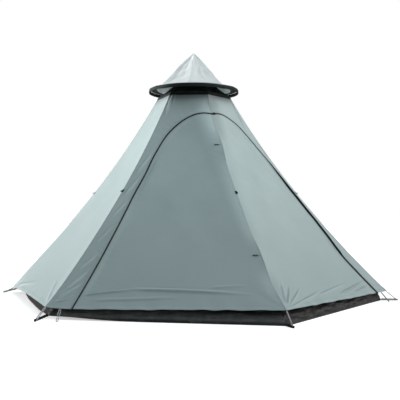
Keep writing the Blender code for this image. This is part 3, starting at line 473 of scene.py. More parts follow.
def make_active(piece):
    deselect()
    piece.select_set(True)
    bpy.context.view_layer.objects.active = piece


def apply_modifier(piece, kind, **settings):
    """Adds a modifier with its settings and applies it."""
    modifier = piece.modifiers.new(kind.title(), kind)
    for setting, value in settings.items():
        setattr(modifier, setting, value)
    make_active(piece)
    bpy.ops.object.modifier_apply(modifier=modifier.name)


def settle(piece):
    """Puts the object's place into its mesh, so that the object sits at the origin."""
    make_active(piece)
    bpy.ops.object.transform_apply(location=True, rotation=True, scale=True)


def smooth_faces(piece, degrees=40):
    make_active(piece)
    bpy.ops.object.shade_smooth_by_angle(angle=math.radians(degrees))


def merge_doubles(piece):
    bm = bmesh.new()
    bm.from_mesh(piece.data)
    bmesh.ops.remove_doubles(bm, verts=bm.verts, dist=MERGE)
    bmesh.ops.dissolve_degenerate(bm, edges=bm.edges, dist=MERGE / 4)
    bm.to_mesh(piece.data)
    bm.free()


def paint(piece, finish):
    piece.data.materials.clear()
    piece.data.materials.append(finishes()[finish])


def dress(piece, finish, body):
    """Gives a piece its finish, and its body if it has only one."""
    paint(piece, finish)
    if body:
        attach(piece, body)
    return piece


def dress_nodes(finish, *names):
    """CAD nodes keep their shape and get a better finish."""
    for name in names:
        paint(NODES[name], finish)


def sheet_mesh(name, columns, rows, place, metres, thickness=CLOTH, loop=False):
    """A primitive grid laid on a surface by formula and given the cloth's thickness.

    place and metres take u and v, both from 0 to 1: the points, and the cloth's own measure.
    """
    deselect()
    bpy.ops.mesh.primitive_grid_add(x_subdivisions=columns, y_subdivisions=rows, size=1)
    piece = bpy.context.object
    piece.name = piece.data.name = name
    mesh = piece.data
    corners = np.empty(len(mesh.vertices) * 3)
    mesh.vertices.foreach_get("co", corners)
    corners = corners.reshape(-1, 3)
    u, v = np.clip(corners[:, 0] + 0.5, 0, 1), np.clip(corners[:, 1] + 0.5, 0, 1)
    mesh.vertices.foreach_set("co", np.ascontiguousarray(place(u, v)).ravel())
    across, up = metres(u, v)
    at = np.empty(len(mesh.loops), dtype=np.int32)
    mesh.loops.foreach_get("vertex_index", at)
    cloth_map = mesh.uv_layers.active or mesh.uv_layers.new(name="UVMap")
    measured = np.stack([np.broadcast_to(across, u.shape)[at], np.broadcast_to(up, u.shape)[at]], 1)
    cloth_map.data.foreach_set("uv", np.ascontiguousarray(measured, dtype=np.float32).ravel())
    mesh.update()
    if loop:
        merge_doubles(piece)
    if thickness:
        apply_modifier(piece, "SOLIDIFY", thickness=thickness, offset=-1.0, use_even_offset=False)
    smooth_faces(piece)
    return piece


def measured(wide, long, turned=False):
    """A strip's own measure: its width by u from its middle and its length by v, or turned."""
    if turned:
        return lambda u, v: ((v - 0.5) * wide, u * long)
    return lambda u, v: ((u - 0.5) * wide, v * long)


def steps_of(u, count):
    """The column or row number of each grid point."""
    return np.rint(u * count).astype(int)


def row_sheet(name, side, rows, columns, spread=None, dressed=True):
    """A sheet whose rows are (near q, far q, s), turned so that its face points outwards."""
    near, far, height = (np.array(values) for values in zip(*rows))
    count = len(rows) - 1

    def shares(u, v):
        row = steps_of(v, count)
        share = side.across(u)
        if spread:
            share = spread(share, near[row], far[row], height[row])
        return near[row] + (far[row] - near[row]) * share, height[row]

    def place(u, v):
        return side.place(*shares(u, v), 0.0, dressed)

    def metres(u, v):
        return side.metres(*shares(u, v))

    return sheet_mesh(name, columns, count, place, metres)


def tube_mesh(name, points, radius, sides=10):
    """A round cord along points, closed in a ring."""
    curve = bpy.data.curves.new(name, "CURVE")
    curve.dimensions = "3D"
    curve.bevel_depth = radius
    curve.bevel_resolution = max(sides // 2 - 2, 1)
    spline = curve.splines.new("NURBS")
    spline.points.add(len(points) - 1)
    for point, where in zip(spline.points, points):
        point.co = (*where, 1)
    spline.use_cyclic_u = True
    spline.order_u = spline.resolution_u = 4
    piece = bpy.data.objects.new(name, curve)
    bpy.context.collection.objects.link(piece)
    make_active(piece)
    bpy.ops.object.convert(target="MESH")
    piece = bpy.context.object
    piece.data.name = name
    merge_doubles(piece)
    smooth_faces(piece, 60)
    return piece


def turned_mesh(name, profile, segments):
    """A profile of (radius, height) turned about the pole's axis by the spin operator."""
    deselect()
    bpy.ops.mesh.primitive_plane_add(size=1)
    piece = bpy.context.object
    piece.name = piece.data.name = name
    bm = bmesh.new()
    points = [bm.verts.new((radius, 0, height)) for radius, height in profile]
    for first, second in zip(points, points[1:]):
        bm.edges.new((first, second))
    bm.to_mesh(piece.data)
    bm.free()
    make_active(piece)
    bpy.ops.object.mode_set(mode="EDIT")
    bpy.ops.mesh.select_all(action="SELECT")
    bpy.ops.mesh.spin(
        steps=segments, angle=2 * math.pi, center=(0, 0, 0), axis=(0, 0, 1), use_auto_merge=True
    )
    bpy.ops.mesh.select_all(action="SELECT")
    bpy.ops.mesh.remove_doubles(threshold=MERGE)
    bpy.ops.mesh.normals_make_consistent(inside=False)
    bpy.ops.object.mode_set(mode="OBJECT")
    smooth_faces(piece)
    return piece


def basis(origin, x_axis, y_axis, z_axis):
    matrix = Matrix((x_axis, y_axis, z_axis)).transposed().to_4x4()
    matrix.translation = origin
    return matrix


def join_all(name, parts):
    deselect()
    for part in parts:
        part.select_set(True)
    bpy.context.view_layer.objects.active = parts[0]
    bpy.ops.object.join()
    parts[0].name = parts[0].data.name = name
    return parts[0]


# Finishes


class Signal:
    """A shader socket that takes part in arithmetic, one Math node for each step."""

    def __init__(self, finish, socket):
        self.finish, self.socket = finish, socket

    def math(self, operation, *others):
        return self.finish.add("Math", {"operation": operation}, dict(enumerate((self, *others))))

    def __add__(self, other):
        return self.math("ADD", other)

    def __sub__(self, other):
        return self.math("SUBTRACT", other)

    def __mul__(self, other):
        return self.math("MULTIPLY", other)

    def __truediv__(self, other):
        return self.math("DIVIDE", other)

    def __rsub__(self, other):
        return self.finish.add("Math", {"operation": "SUBTRACT"}, {0: other, 1: self})

    __radd__ = __add__
    __rmul__ = __mul__

    def between(self, low, high):
        """A soft step from 0 at low to 1 at high."""
        settings = {"interpolation_type": "SMOOTHSTEP"}
        return self.finish.add("MapRange", settings, {"Value": self, "From Min": low, "From Max": high})


class Finish:
    """A material while its nodes are added."""

    def __init__(self, name, colour, roughness, **uniform):
        self.material = bpy.data.materials.new(name)
        self.material.use_nodes = True
        self.material.diffuse_color = (*colour, 1)
        self.tree = self.material.node_tree
        self.surface = self.tree.nodes["Principled BSDF"]
        self.set("Base Color", (*colour, 1))
        self.set("Roughness", roughness)
        for socket, value in uniform.items():
            self.set(socket.replace("_", " "), value)

    def add(self, kind, settings=None, values=None, output=0):
        """A node of a type, with its settings and the values or links of its sockets."""
        node = self.tree.nodes.new("ShaderNode" + kind)
        for setting, value in (settings or {}).items():
            setattr(node, setting, value)
        for socket, value in (values or {}).items():
            self.join(node.inputs[socket], value)
        return Signal(self, node.outputs[output])

    def join(self, socket, value):
        if isinstance(value, Signal):
            self.tree.links.new(value.socket, socket)
        else:
            socket.default_value = value

    def set(self, socket, value):
        self.join(self.surface.inputs[socket], value)

    def cloth_map(self):
        return self.add("UVMap", {"uv_map": "UVMap"})

    def place(self):
        return self.add("TexCoord", output="Object")

    def parts(self, vector):
        """X, Y and Z of a vector."""
        split = self.add("SeparateXYZ", None, {"Vector": vector}).socket.node
        return [Signal(self, output) for output in split.outputs]

    def noise(self, vector, scale, detail, roughness=0.5):
        values = {"Vector": vector, "Scale": scale, "Detail": detail, "Roughness": roughness}
        return self.add("TexNoise", None, values, "Fac")

    def stretched(self, vector, scale):
        return self.add("Mapping", None, {"Vector": vector, "Scale": scale})

    def mixed(self, share, first, second):
        """Two colours mixed by a share."""
        values = {"Factor": share, 6: first, 7: second}
        return self.add("Mix", {"data_type": "RGBA"}, values, 2)

    def done(self, colour, roughness, normal):
        """The material, with these three joined to its surface."""
        self.set("Base Color", colour)
        self.set("Roughness", roughness)
        self.set("Normal", normal)
        return self.material

    def let_through(self, share, colour, normal):
        """Thin pale cloth: a share of the light that reaches its far side shows through."""
        through = self.add("BsdfTranslucent", None, {"Color": colour, "Normal": normal})
        opaque = Signal(self, self.surface.outputs[0])
        mix = self.add("MixShader", None, {0: share, 1: opaque, 2: through})
        self.tree.links.new(mix.socket, self.tree.nodes["Material Output"].inputs["Surface"])

    def bump(self, height, strength, distance, below=None):
        values = {"Height": height, "Strength": strength, "Distance": distance}
        if below is not None:
            values["Normal"] = below
        return self.add("Bump", None, values)


def shade(colour, factor):
    """The colour made darker or lighter."""
    return (*(min(channel * factor, 1) for channel in colour), 1)


def weave(finish, cloth, count):
    """Over and under threads, count to the metre each way."""
    scaled = finish.stretched(cloth, (count, count, 1))
    values = {"Vector": scaled, "Scale": 0.314}
    warp, weft = (finish.add("TexWave", {"bands_direction": way}, values, 1) for way in "XY")
    return warp * weft


def packing_creases(finish, cloth, spacing):
    """Faint straight creases from the way the tent is folded in its bag."""
    wander = finish.noise(cloth, 1.3, 1.0) * 0.10
    lines = []
    for run in finish.parts(cloth)[:2]:
        place = ((run + wander) / spacing).math("FRACT")
        lines.append(1 - (place - 0.5).math("ABSOLUTE").between(0.0, 0.022))
    return lines[0].math("MAXIMUM", lines[1]) * finish.noise(cloth, 2.7, 1.0).between(0.42, 0.62)


def painted_shade_and_light(finish, toned, colour, mottle, painted_foot_shade):
    """Painted shade and light on the fly, by the place on the tent: darker towards the foot and under
    the hood, darker right of the middle rib and lighter left of it.
    """
    across, depth, height = finish.parts(finish.place())
    before = 1 - depth.between(-0.2, -0.1)
    # Painted shade: darker towards the foot, and a painted shadow of the hood below the neck
    foot = 1 - (height + (mottle - 0.5) * 0.25).between(-0.1, 1.35)
    neck = height.between(1.84, 1.935)
    # Painted shade right of the middle rib's upper half and a painted highlight left of it, which soften
    # the rib's edge
    painted_rib_shade = across.between(-0.015, 0.005) * (1 - across.between(0.03, 0.15)) * before
    painted_rib_shade = painted_rib_shade * (height.between(1.25, 1.60) * 0.55 + height.between(1.62, 1.88) * 0.35)
    wear_and_painted_light = across.between(-0.17, -0.01) * (1 - across.between(-0.008, 0.002)) * before
    wear_and_painted_light = wear_and_painted_light * height.between(1.20, 1.50) * (1 - height.between(1.70, 1.84))
    for share, factor in ((foot, painted_foot_shade), (neck, 0.40), (painted_rib_shade, 0.62), (wear_and_painted_light, 1.24)):
        toned = finish.mixed(share, toned, shade(colour, factor))
    return toned


def cloth_finish(
    name, colour, stitched=0.0, sheen=0.12, thread=None, glow=0.0, gloss=0.35, painted_foot_shade=0.0
):
    """Coated plain-weave polyester, with its mottling, packing creases and a satin sheen.

    stitched is how far two rows of stitches lie from the middle of a strip.
    """
    finish = Finish(
        name,
        colour,
        0.58,
        Sheen_Weight=sheen,
        Sheen_Roughness=0.45,
        Sheen_Tint=shade(colour, 1.5),
        Specular_IOR_Level=gloss,
    )
    cloth = finish.cloth_map()
    mottle = finish.noise(cloth, 2.2, 4.0, 0.6)
    fine = finish.noise(cloth, 55.0, 3.0, 0.6)
    creases = packing_creases(finish, cloth, 0.47)
    toned = finish.mixed(mottle.between(0.3, 0.7), shade(colour, 0.955), shade(colour, 1.045))
    toned = finish.mixed(fine.between(0.35, 0.65) * 0.35, toned, shade(colour, 0.93))
    # Painted shade and light by the place on the tent
    if painted_foot_shade:
        toned = painted_shade_and_light(finish, toned, colour, mottle, painted_foot_shade)
    threads = weave(finish, cloth, 900.0)
    toned = finish.mixed(threads * 0.10, toned, shade(colour, 1.15))
    height = creases * 0.5 + finish.noise(cloth, 9.0, 4.0, 0.55) * 0.8
    normal = finish.bump(height, 0.16, 0.004)
    normal = finish.bump(threads + fine * 0.6, 0.10, 0.0004, normal)
    if stitched:
        across, up, _ = finish.parts(cloth)
        rows = (across.math("ABSOLUTE") - stitched).math("ABSOLUTE")
        seam = 1 - rows.between(0.0004, 0.0010)
        dash = ((up / 0.0045).math("FRACT") - 0.5).math("ABSOLUTE").between(0.10, 0.16)
        stitches = seam * dash
        toned = finish.mixed(stitches, toned, (*thread, 1))
        furrow = 1 - rows.between(0.0010, 0.0030)
        normal = finish.bump(stitches - furrow * 0.5, 0.5, 0.0006, normal)
    if glow:
        finish.let_through(glow, toned, normal)
    return finish.done(toned, 0.54 + mottle * 0.10 + threads * 0.04, normal)


def coated_floor_finish(name, colour):
    """Heavy coated floor cloth: near black, with a low gloss broken by fine creases."""
    finish = Finish(name, colour, 0.42, Specular_IOR_Level=0.08)
    cloth = finish.cloth_map()
    crinkle = finish.noise(finish.stretched(cloth, (9.0, 34.0, 1)), 1.0, 5.0, 0.62)
    scuffs = finish.noise(cloth, 14.0, 5.0, 0.7)
    dust = finish.noise(cloth, 3.1, 3.0)
    toned = finish.mixed(scuffs.between(0.45, 0.75) * 0.5, shade(colour, 0.8), shade(colour, 1.9))
    # Painted highlight: the crinkles' ridges are lightened, standing for the gloss that catches on them
    toned = finish.mixed(crinkle.between(0.50, 0.72) * 0.7, toned, shade(colour, 3.2))
    toned = finish.mixed(dust.between(0.5, 0.8) * 0.10, toned, (0.10, 0.095, 0.085, 1))
    # Painted highlight: a pale line along the lower half of the front-left wall, broken by the scuffs.
    # Painted shade: the front-right wall beside it is darkened, and the walls behind much more.
    around, height = finish.parts(cloth)[0], finish.parts(finish.place())[2]
    line = height.between(0.010, 0.034) * (1 - height.between(0.058, 0.092))
    wall = height.between(0.006, 0.012)
    left = around.between(3.45, 3.60)
    right = 1 - around.between(-3.60, -3.45)
    painted_shade_behind = (1 - left) * (1 - right) * wall
    toned = finish.mixed(line * left * (0.10 + scuffs * 0.95), toned, (0.16, 0.168, 0.164, 1))
    toned = finish.mixed(right * wall * (1 - line) * 0.7, toned, shade(colour, 0.4))
    toned = finish.mixed(painted_shade_behind * 0.85, toned, shade(colour, 0.15))
    threads = weave(finish, cloth, 700.0)
    normal = finish.bump(crinkle, 0.55, 0.010)
    normal = finish.bump(threads, 0.10, 0.0004, normal)
    return finish.done(toned, 0.27 + scuffs * 0.24 + painted_shade_behind * 0.45, normal)


def woven_tape_finish(name, colour, ribs=600.0):
    """Tape or webbing woven with ribs across it."""
    finish = Finish(
        name, colour, 0.75, Specular_IOR_Level=0.12, Sheen_Weight=0.02, Sheen_Roughness=0.4
    )
    cloth = finish.cloth_map()
    threads = weave(finish, cloth, ribs)
    worn = finish.noise(cloth, 38.0, 4.0, 0.65)
    toned = finish.mixed(threads * 0.7, shade(colour, 0.7), shade(colour, 1.4))
    toned = finish.mixed(worn.between(0.5, 0.75) * 0.3, toned, shade(colour, 1.8))
    normal = finish.bump(threads + worn * 0.3, 0.45, 0.0005)
    return finish.done(toned, 0.67 + worn * 0.14, normal)


def net_finish(name, colour, cover):
    """Insect net: threads round small open meshes, with the cover that it has from afar."""
    finish = Finish(name, colour, 0.8, Specular_IOR_Level=0.05)
    cloth = finish.cloth_map()
    threads = weave(finish, cloth, 640.0)
    patchy = finish.noise(cloth, 5.0, 2.0)
    finish.set("Alpha", (threads * 0.5 + (cover - 0.22) + patchy * 0.08).math("MINIMUM", 1.0))
    toned = finish.mixed(patchy, shade(colour, 0.8), shade(colour, 1.25))
    return finish.done(toned, 0.8, finish.bump(threads, 0.3, 0.0005))


def painted_metal_finish(name, colour, bare, gloss=0.42):
    """Painted or powder-coated metal with fine grain and spots worn to the bare metal."""
    finish = Finish(name, colour, gloss, Coat_Weight=0.15, Coat_Roughness=0.3)
    place = finish.place()
    grain = finish.noise(place, 900.0, 2.0)
    wear_and_painted_light = finish.noise(finish.stretched(place, (1.0, 1.0, 0.2)), 60.0, 5.0, 0.7)
    worn = wear_and_painted_light.between(0.62, 0.72)
    toned = finish.mixed(grain * 0.5, shade(colour, 0.85), shade(colour, 1.2))
    toned = finish.mixed(worn * 0.6, toned, (*bare, 1))
    finish.set("Metallic", worn * 0.8)
    return finish.done(toned, gloss - 0.05 + grain * 0.12, finish.bump(grain, 0.15, 0.0003))


def moulded_finish(name, colour, roughness):
    """Moulded rubber or plastic with a fine grain."""
    finish = Finish(name, colour, roughness)
    place = finish.place()
    grain = finish.noise(place, 1400.0, 3.0)
    cast = finish.noise(place, 45.0, 3.0)
    toned = finish.mixed(cast, shade(colour, 0.75), shade(colour, 1.5))
    normal = finish.bump(grain + cast * 0.5, 0.25, 0.0003)
    return finish.done(toned, roughness - 0.08 + grain * 0.16, normal)


def braided_finish(name, colour, fleck):
    """Braided cord with crossing strands."""
    finish = Finish(name, colour, 0.6, Sheen_Weight=0.2)
    place = finish.place()
    strands = finish.add("TexVoronoi", None, {"Vector": place, "Scale": 950.0})
    toned = finish.mixed(strands.between(0.2, 0.7), (*fleck, 1), (*colour, 1))
    return finish.done(toned, 0.55 + strands * 0.2, finish.bump(strands, 0.5, 0.0006))


FINISHES = {}


def finishes():
    """The tent's finishes, made once from the colours."""
    if FINISHES:
        return FINISHES
    tint = {key: tuple(getattr(bpy.context.scene.tent_colours, key)) for key in COLOURS}
    thread, seam = tint["thread"], 0.0045
    FINISHES.update(
        fly=cloth_finish("Fly cloth", tint["fly"], painted_foot_shade=0.76),
        fly_trim=cloth_finish("Fly seam tape", tint["fly"], seam, thread=thread, painted_foot_shade=0.76),
        hem=cloth_finish("Folded hem", tint["hem"], 0.0135, thread=thread, painted_foot_shade=0.82),
        cap=cloth_finish("Hood cloth", tint["hood"], sheen=0.2, glow=0.25),
        cap_trim=cloth_finish("Hood seam", tint["hood"], seam, thread=thread),
        binding=woven_tape_finish("Brim binding", tint["binding"], 420.0),
        facing=cloth_finish(
            "Brim facing", tint["binding"], 0.016, 0.0, tint["facing_thread"], gloss=0.1
        ),
        net=net_finish("Vent net", tint["net"], 0.86),
        inner=net_finish("Inner net", tint["inner"], 0.62),
        inner_trim=woven_tape_finish("Inner edging", tint["inner"]),
        tub=coated_floor_finish("Floor cloth", tint["floor_cloth"]),
        zip_tape=woven_tape_finish("Zip tape", tint["zip"], 500.0),
        coil=moulded_finish("Zip coil", tint["zip"], 0.38),
        metal=painted_metal_finish("Zip metal", tint["metal"], (0.32, 0.32, 0.31)),
        pole=painted_metal_finish("Pole coating", tint["pole"], (0.45, 0.44, 0.42), 0.45),
        rubber=moulded_finish("Pole rubber", tint["rubber"], 0.75),
        rod=moulded_finish("Hoop rod", tint["rod"], 0.45),
        toggle=moulded_finish("Toggle plastic", tint["toggle"], 0.4),
        webbing=woven_tape_finish("Loop webbing", tint["webbing"], 420.0),
        pale_webbing=woven_tape_finish("Pale webbing", tint["pale_webbing"], 420.0),
        cord=braided_finish("Loop cord", tint["cord"], tint["webbing"]),
    )
    return FINISHES


# Sizes and colours that a user would change


def length(name, description, default):
    return FloatProperty(
        name=name, description=description, default=default, min=0, max=1, unit="LENGTH", precision=4
    )


def colour(name, description, default):
    return FloatVectorProperty(
        name=name, description=description, default=default, size=3, min=0, max=1, subtype="COLOR"
    )


class TentSizes(PropertyGroup):
    """Sizes of the cloth's slack and of the sewn trim."""

    slack: length("Slack", "How far the broad waves of the cloth rise", 0.0055)
    pucker: length("Seam pucker", "Height of the puckers beside the ribs", 0.0010)
    zip_pucker: length("Zip pucker", "Height of the puckers beside the zips", 0.0013)
    zip_sway: length("Zip sway", "How far the zip's line waves in and out", 0.0016)
    hem_wave: length("Hem wave", "How far the hem waves between the corners", 0.0045)
    corner_fold: length("Corner folds", "Height of the folds that the corners pull", 0.0022)
    ridge: length("Ridge rounding", "Slope by which the middle rib is rounded off", 0.36)
    hem_band: length("Hem band", "Width of the folded hem", 0.034)
    rib_band: length("Rib seam", "Half the width of the seam on each rib", 0.0075)
    welt: length("Zip welt", "Width of the folded welt beside each zip", 0.013)
    coil_pitch: length("Coil pitch", "Distance between the coils of the zip", 0.0030)
    wall_fold: length("Floor wall folds", "How far the floor's wall creases", 0.0055)


COLOURS = {
    "fly": ("Fly", "Grey-green fly cloth", (0.360, 0.445, 0.450)),
    "hem": ("Hem", "Folded hem of the fly", (0.345, 0.430, 0.435)),
    "hood": ("Hood", "Paler cloth of the hood", (0.86, 0.91, 0.91)),
    "thread": ("Thread", "Sewing thread of the fly", (0.16, 0.19, 0.185)),
    "binding": ("Binding", "Dark tape round the brim", (0.016, 0.024, 0.022)),
    "facing_thread": ("Facing thread", "Stitching inside the brim", (0.20, 0.22, 0.17)),
    "net": ("Vent net", "Black insect net under the hood", (0.012, 0.016, 0.017)),
    "inner": ("Inner tent", "Dark net of the inner tent", (0.045, 0.050, 0.055)),
    "floor_cloth": ("Floor", "Black coated floor cloth", (0.024, 0.025, 0.025)),
    "zip": ("Zip", "Black zip tape and coil", (0.012, 0.014, 0.015)),
    "metal": ("Zip metal", "Black paint of sliders and pulls", (0.03, 0.03, 0.032)),
    "pole": ("Pole", "Grey coating of the pole", (0.42, 0.43, 0.44)),
    "rubber": ("Rubber", "Pole foot and plug", (0.018, 0.018, 0.018)),
    "rod": ("Hoop rod", "Glass-fibre rod in the brim", (0.05, 0.05, 0.05)),
    "toggle": ("Toggle", "Dark moulded toggles", (0.03, 0.033, 0.034)),
    "webbing": ("Webbing", "Black loops", (0.016, 0.017, 0.017)),
    "pale_webbing": ("Pale webbing", "Cream loops of two far floor corners", (0.60, 0.57, 0.42)),
    "cord": ("Cord", "Pale elastic cord of the corner loops", (0.46, 0.46, 0.50)),
    "ground": ("Studio floor", "Pale floor under the tent", (0.86, 0.86, 0.86)),
}


class TentColours(PropertyGroup):
    """Base colours of the tent's finishes."""

    __annotations__ = {key: colour(*entry) for key, entry in COLOURS.items()}


# Strips and sheets that more than one operator makes


def hinge_spread(columns):
    """Shares of a flap's width, with the first few columns in the strip that bends."""

    def spread(across, near, far, height):
        strip = (HINGE_END - HINGE_START) / ((far - near) * FLY.radius(height))
        count = across * columns
        rest = strip + (1 - strip) * (count - HINGE_COLUMNS) / (columns - HINGE_COLUMNS)
        return np.where(count < HINGE_COLUMNS, strip * count / HINGE_COLUMNS, rest)

    return spread


def hinge(piece, side):
    """Puts the piece's place into its mesh, so that it sits at the origin."""
    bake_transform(piece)


def cloth_area(side):
    """The flat area of a whole side."""
    width = side.skin.radius(np.linspace(0, 1, 60))
    return float(np.sum((width[1:] + width[:-1]) / 2) / 59 * side.skin.slant())


def door_area(line, shift):
    """The flat area of one front side inside the zip's line moved sideways by a distance."""
    q, s = line.edge(np.linspace(0, line.length, 400), shift)
    width = q * FLY.radius(s)
    return float(np.sum((width[1:] + width[:-1]) / 2 * np.diff(s)) * SKIN_SLANT)


def full_rows(skin, inset, steps):
    """Rows from rib to rib, a little short of both."""
    return [(inset / skin.radius(s), 1 - inset / skin.radius(s), s) for s in steps]


def line_rows(line, shift, least):
    """The zip's line moved sideways, as (q, s) for rows that lie close together near the hem.

    It ends where it comes within least of the middle rib.
    """
    low, middle = np.linspace(0, 0.30, 121)[:-1], np.linspace(0.30, 0.60, 44)[:-1]
    steps = np.concatenate([low, middle, np.linspace(0.60, line.length, 110)])
    edge_q, edge_s = line.edge(steps, shift)
    edge_s[0] = 0
    rows = []
    for q, s in zip(edge_q, edge_s):
        if q * FLY.radius(s) > least and (not rows or s > rows[-1][1]):
            rows.append((q, s))
    return rows


def make_hem(name, side, columns, near, far, spread=None):
    """The folded hem along a side's foot, outside the cloth, from q near(s) to q far."""
    width = bpy.context.scene.tent_sizes.hem_band
    long = CORNER_RADIUS * (DOOR_SHARE if spread else 1)

    def place(u, v):
        s = width / SKIN_SLANT * v
        share = side.across(u)
        if spread:
            share = spread(share, near(s), far, s)
        q = near(s) + (far - near(s)) * share
        return side.place(q, s, 0.0005 + 0.0009 * swell(v, 0.02))

    def metres(u, v):
        return (v - 0.5) * width, (u - 0.5) * long

    return sheet_mesh(name, columns, 6, place, metres, 0.0008)


def line_strip(
    name, side, way, offs, ends, grid, lift, thickness, sign=1, inset=SEAM_INSET, middle=0.5
):
    """A strip along the zip's line between two distances from it, on the side that sign gives.

    way turns a distance along the line and one off it into (q, s). lift gives the strip's rise by
    its share of the width and the distance along. The cloth's own measure starts at middle.
    """

    def where(u, v):
        across = side.across(u) if sign > 0 else 1 - side.across(u)
        run = ends[0] + (ends[1] - ends[0]) * v
        q, s = way(run, sign * (offs[0] + (offs[1] - offs[0]) * across))
        return np.maximum(q, inset / FLY.radius(s)), s, across, run

    def place(u, v):
        q, s, across, run = where(u, v)
        return side.place(q, s, lift(across, run))

    def metres(u, v):
        _, _, across, run = where(u, v)
        return (across - middle) * (offs[1] - offs[0]), run

    return sheet_mesh(name, *grid, place, metres, thickness)


def make_welt(name, side, offs, ends):
    """A folded strip of cloth sewn beside the zip, between two distances from its line."""

    def lift(across, _):
        return 0.0006 + 0.0011 * swell(across, 0.03)

    return line_strip(name, side, side.door.edge, offs, ends, (5, 420), lift, 0.0009)


def side_after(degrees):
    """The fly's side that starts at a corner, as far as a rib's tape needs it."""
    if degrees == FRONT:
        return FLY_SIDES["front_right"]
    door = DOORS["left"] if degrees == FRONT - 60 else None
    return Side(FLY, degrees, degrees + 60, door=door)


def rib_band(name, degrees, low, high, half, lift, rows=150):
    """A felled seam over a rib, bent to the two sides that meet there."""
    before, after = side_after(degrees - 60), side_after(degrees)

    def place(u, v):
        s = low + (high - low) * v
        off = (u - 0.5) * 2 * half
        reach = np.abs(off) / FLY.radius(s)
        base = np.where((off < 0)[..., None], before.bare(1 - reach, s), after.bare(reach, s))
        settled = after.rounded(np.abs(off), s) if degrees == FRONT else 0.0
        normal_left, normal_right = before.slopes(1 - reach, s)[2], after.slopes(reach, s)[2]
        share = smooth(off, -0.004, 0.004)[..., None]
        normal = unit(normal_left * (1 - share) + normal_right * share)
        return base + settled + normal * (lift + 0.0010 * rounded_top(u))[..., None]

    metres = measured(2 * half, (high - low) * SKIN_SLANT)
    return sheet_mesh(name, 8, rows, place, metres, 0.0009)


# Operators, one for each piece or group of like pieces


class TENT_OT_fly_sides(Operator):
    """Make the four plain sides of the fly with their slack, puckers and hems"""

    bl_idname = "tent.fly_sides"
    bl_label = "Fly sides"

    def execute(self, context):
        steps = np.concatenate([np.linspace(0, 0.12, 61)[:-1], np.linspace(0.12, 1, 100)])
        for name in ("left", "right", "back_right", "back_left"):
            side = FLY_SIDES[name]
            piece = row_sheet("side_" + name, side, full_rows(FLY, SEAM_INSET, steps), 96)
            dress(piece, "fly", "tent")
            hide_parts("fly_" + name)
            hem = make_hem("hem_" + name, side, 96, lambda s: HEM_INSET, 1 - HEM_INSET)
            dress(hem, "hem", "tent")
            cloth_area(side)
        return {"FINISHED"}


class TENT_OT_door_surround(Operator):
    """Make the two front sides that stay round the door, with the welts of their zips"""

    bl_idname = "tent.door_surround"
    bl_label = "Door surround"

    def execute(self, context):
        for name, line in DOORS.items():
            side = FLY_SIDES["front_" + name]
            edge = line_rows(line, line.gap, 0.0012)
            rows = [(q, 1 - SEAM_INSET / FLY.radius(s), s) for q, s in edge]
            rows += full_rows(FLY, SEAM_INSET, np.linspace(edge[-1][1], 1, 18)[1:])
            piece = row_sheet("front_" + name, side, rows, 60)
            dress(piece, "fly", "tent")
            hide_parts("fly_front_" + name)
            near = edge[0][0] + HEM_CLEAR
            hem = make_hem("hem_front_" + name, side, 20, lambda s: near, 1 - HEM_INSET)
            dress(hem, "hem", "tent")
            offs = line.gap - WELT_OVERLAP, line.gap + context.scene.tent_sizes.welt
            welt = make_welt("zip_welt_" + name, side, offs, (0.0, line.length - 0.004))
            dress(welt, "fly_trim", "tent")
            cloth_area(side) - door_area(line, line.gap)
        return {"FINISHED"}


class TENT_OT_door_flaps(Operator):
    """Make the two door flaps, their hems and welts, and the tape on the middle rib"""

    bl_idname = "tent.door_flaps"
    bl_label = "Door flaps"

    def execute(self, context):
        spread = hinge_spread(FLAP_COLUMNS)
        for name, line in DOORS.items():
            side = FLY_SIDES["front_" + name]
            edge = line_rows(line, -line.gap, 0.018)
            rows = [(HINGE_START / FLY.radius(s), q, s) for q, s in edge]
            piece = row_sheet("flap_" + name, side, rows, FLAP_COLUMNS, spread)
            hem = make_hem(
                "hem_flap_" + name,
                side,
                FLAP_COLUMNS,
                lambda s: HINGE_START / FLY.radius(s),
                edge[0][0] - HEM_CLEAR,
                spread,
            )
            offs = -line.gap - context.scene.tent_sizes.welt * 0.7, -line.gap + WELT_OVERLAP
            welt = make_welt("flap_welt_" + name, side, offs, flap_zip(line))
            for cloth, finish in ((piece, "fly"), (hem, "hem"), (welt, "fly_trim")):
                dress(cloth, finish, None)
                hinge(cloth, name)
            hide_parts("door_flap_" + name)
            SKIN_SLANT * FLY.share(DOOR_TOP)
            door_area(line, -line.gap)
        top, half = FLY.share(DOOR_TOP) - 0.004, RIB_TAPE_HALF + 0.0006
        tape = rib_band("rib_tape", FRONT, 0.0, top, half, SEAM_LIFT)
        dress(tape, "fly_trim", "tent")
        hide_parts("door_rib_tape")
        return {"FINISHED"}


class TENT_OT_rib_seams(Operator):
    """Make the felled seams along the ribs and the bound neck of the fly"""

    bl_idname = "tent.rib_seams"
    bl_label = "Rib seams"

    def execute(self, context):
        half = context.scene.tent_sizes.rib_band
        for name, degrees in CORNERS.items():
            low = FLY.share(DOOR_TOP) + 0.006 if name == "front" else 0.0
            seam = rib_band("rib_seam_" + name, degrees, low, 0.999, half, SEAM_LIFT)
            dress(seam, "fly_trim", "tent")

        # The neck's dark binding tape, about 34 mm tall: besides the real tape it stands for the hood's
        # shadow below the neck, as painted shade
        def neck(u, v):
            turn = full_turn(u)
            height = NECK_HEIGHT - 0.033 + 0.0345 * v
            radius = NECK_RADIUS + 0.0032 - 0.0030 * np.abs(2 * v - 1) ** 4
            radius = radius + (NECK_HEIGHT - height) * NECK_FLARE
            return ringed(turn, radius * hexagon(turn, FRONT_TURN), height)

        metres = measured(0.034, 2.0, True)
        piece = sheet_mesh("neck_binding_and_painted_shade", 96, 8, neck, metres, 0.0010, True)
        dress(piece, "binding", "tent")
        return {"FINISHED"}


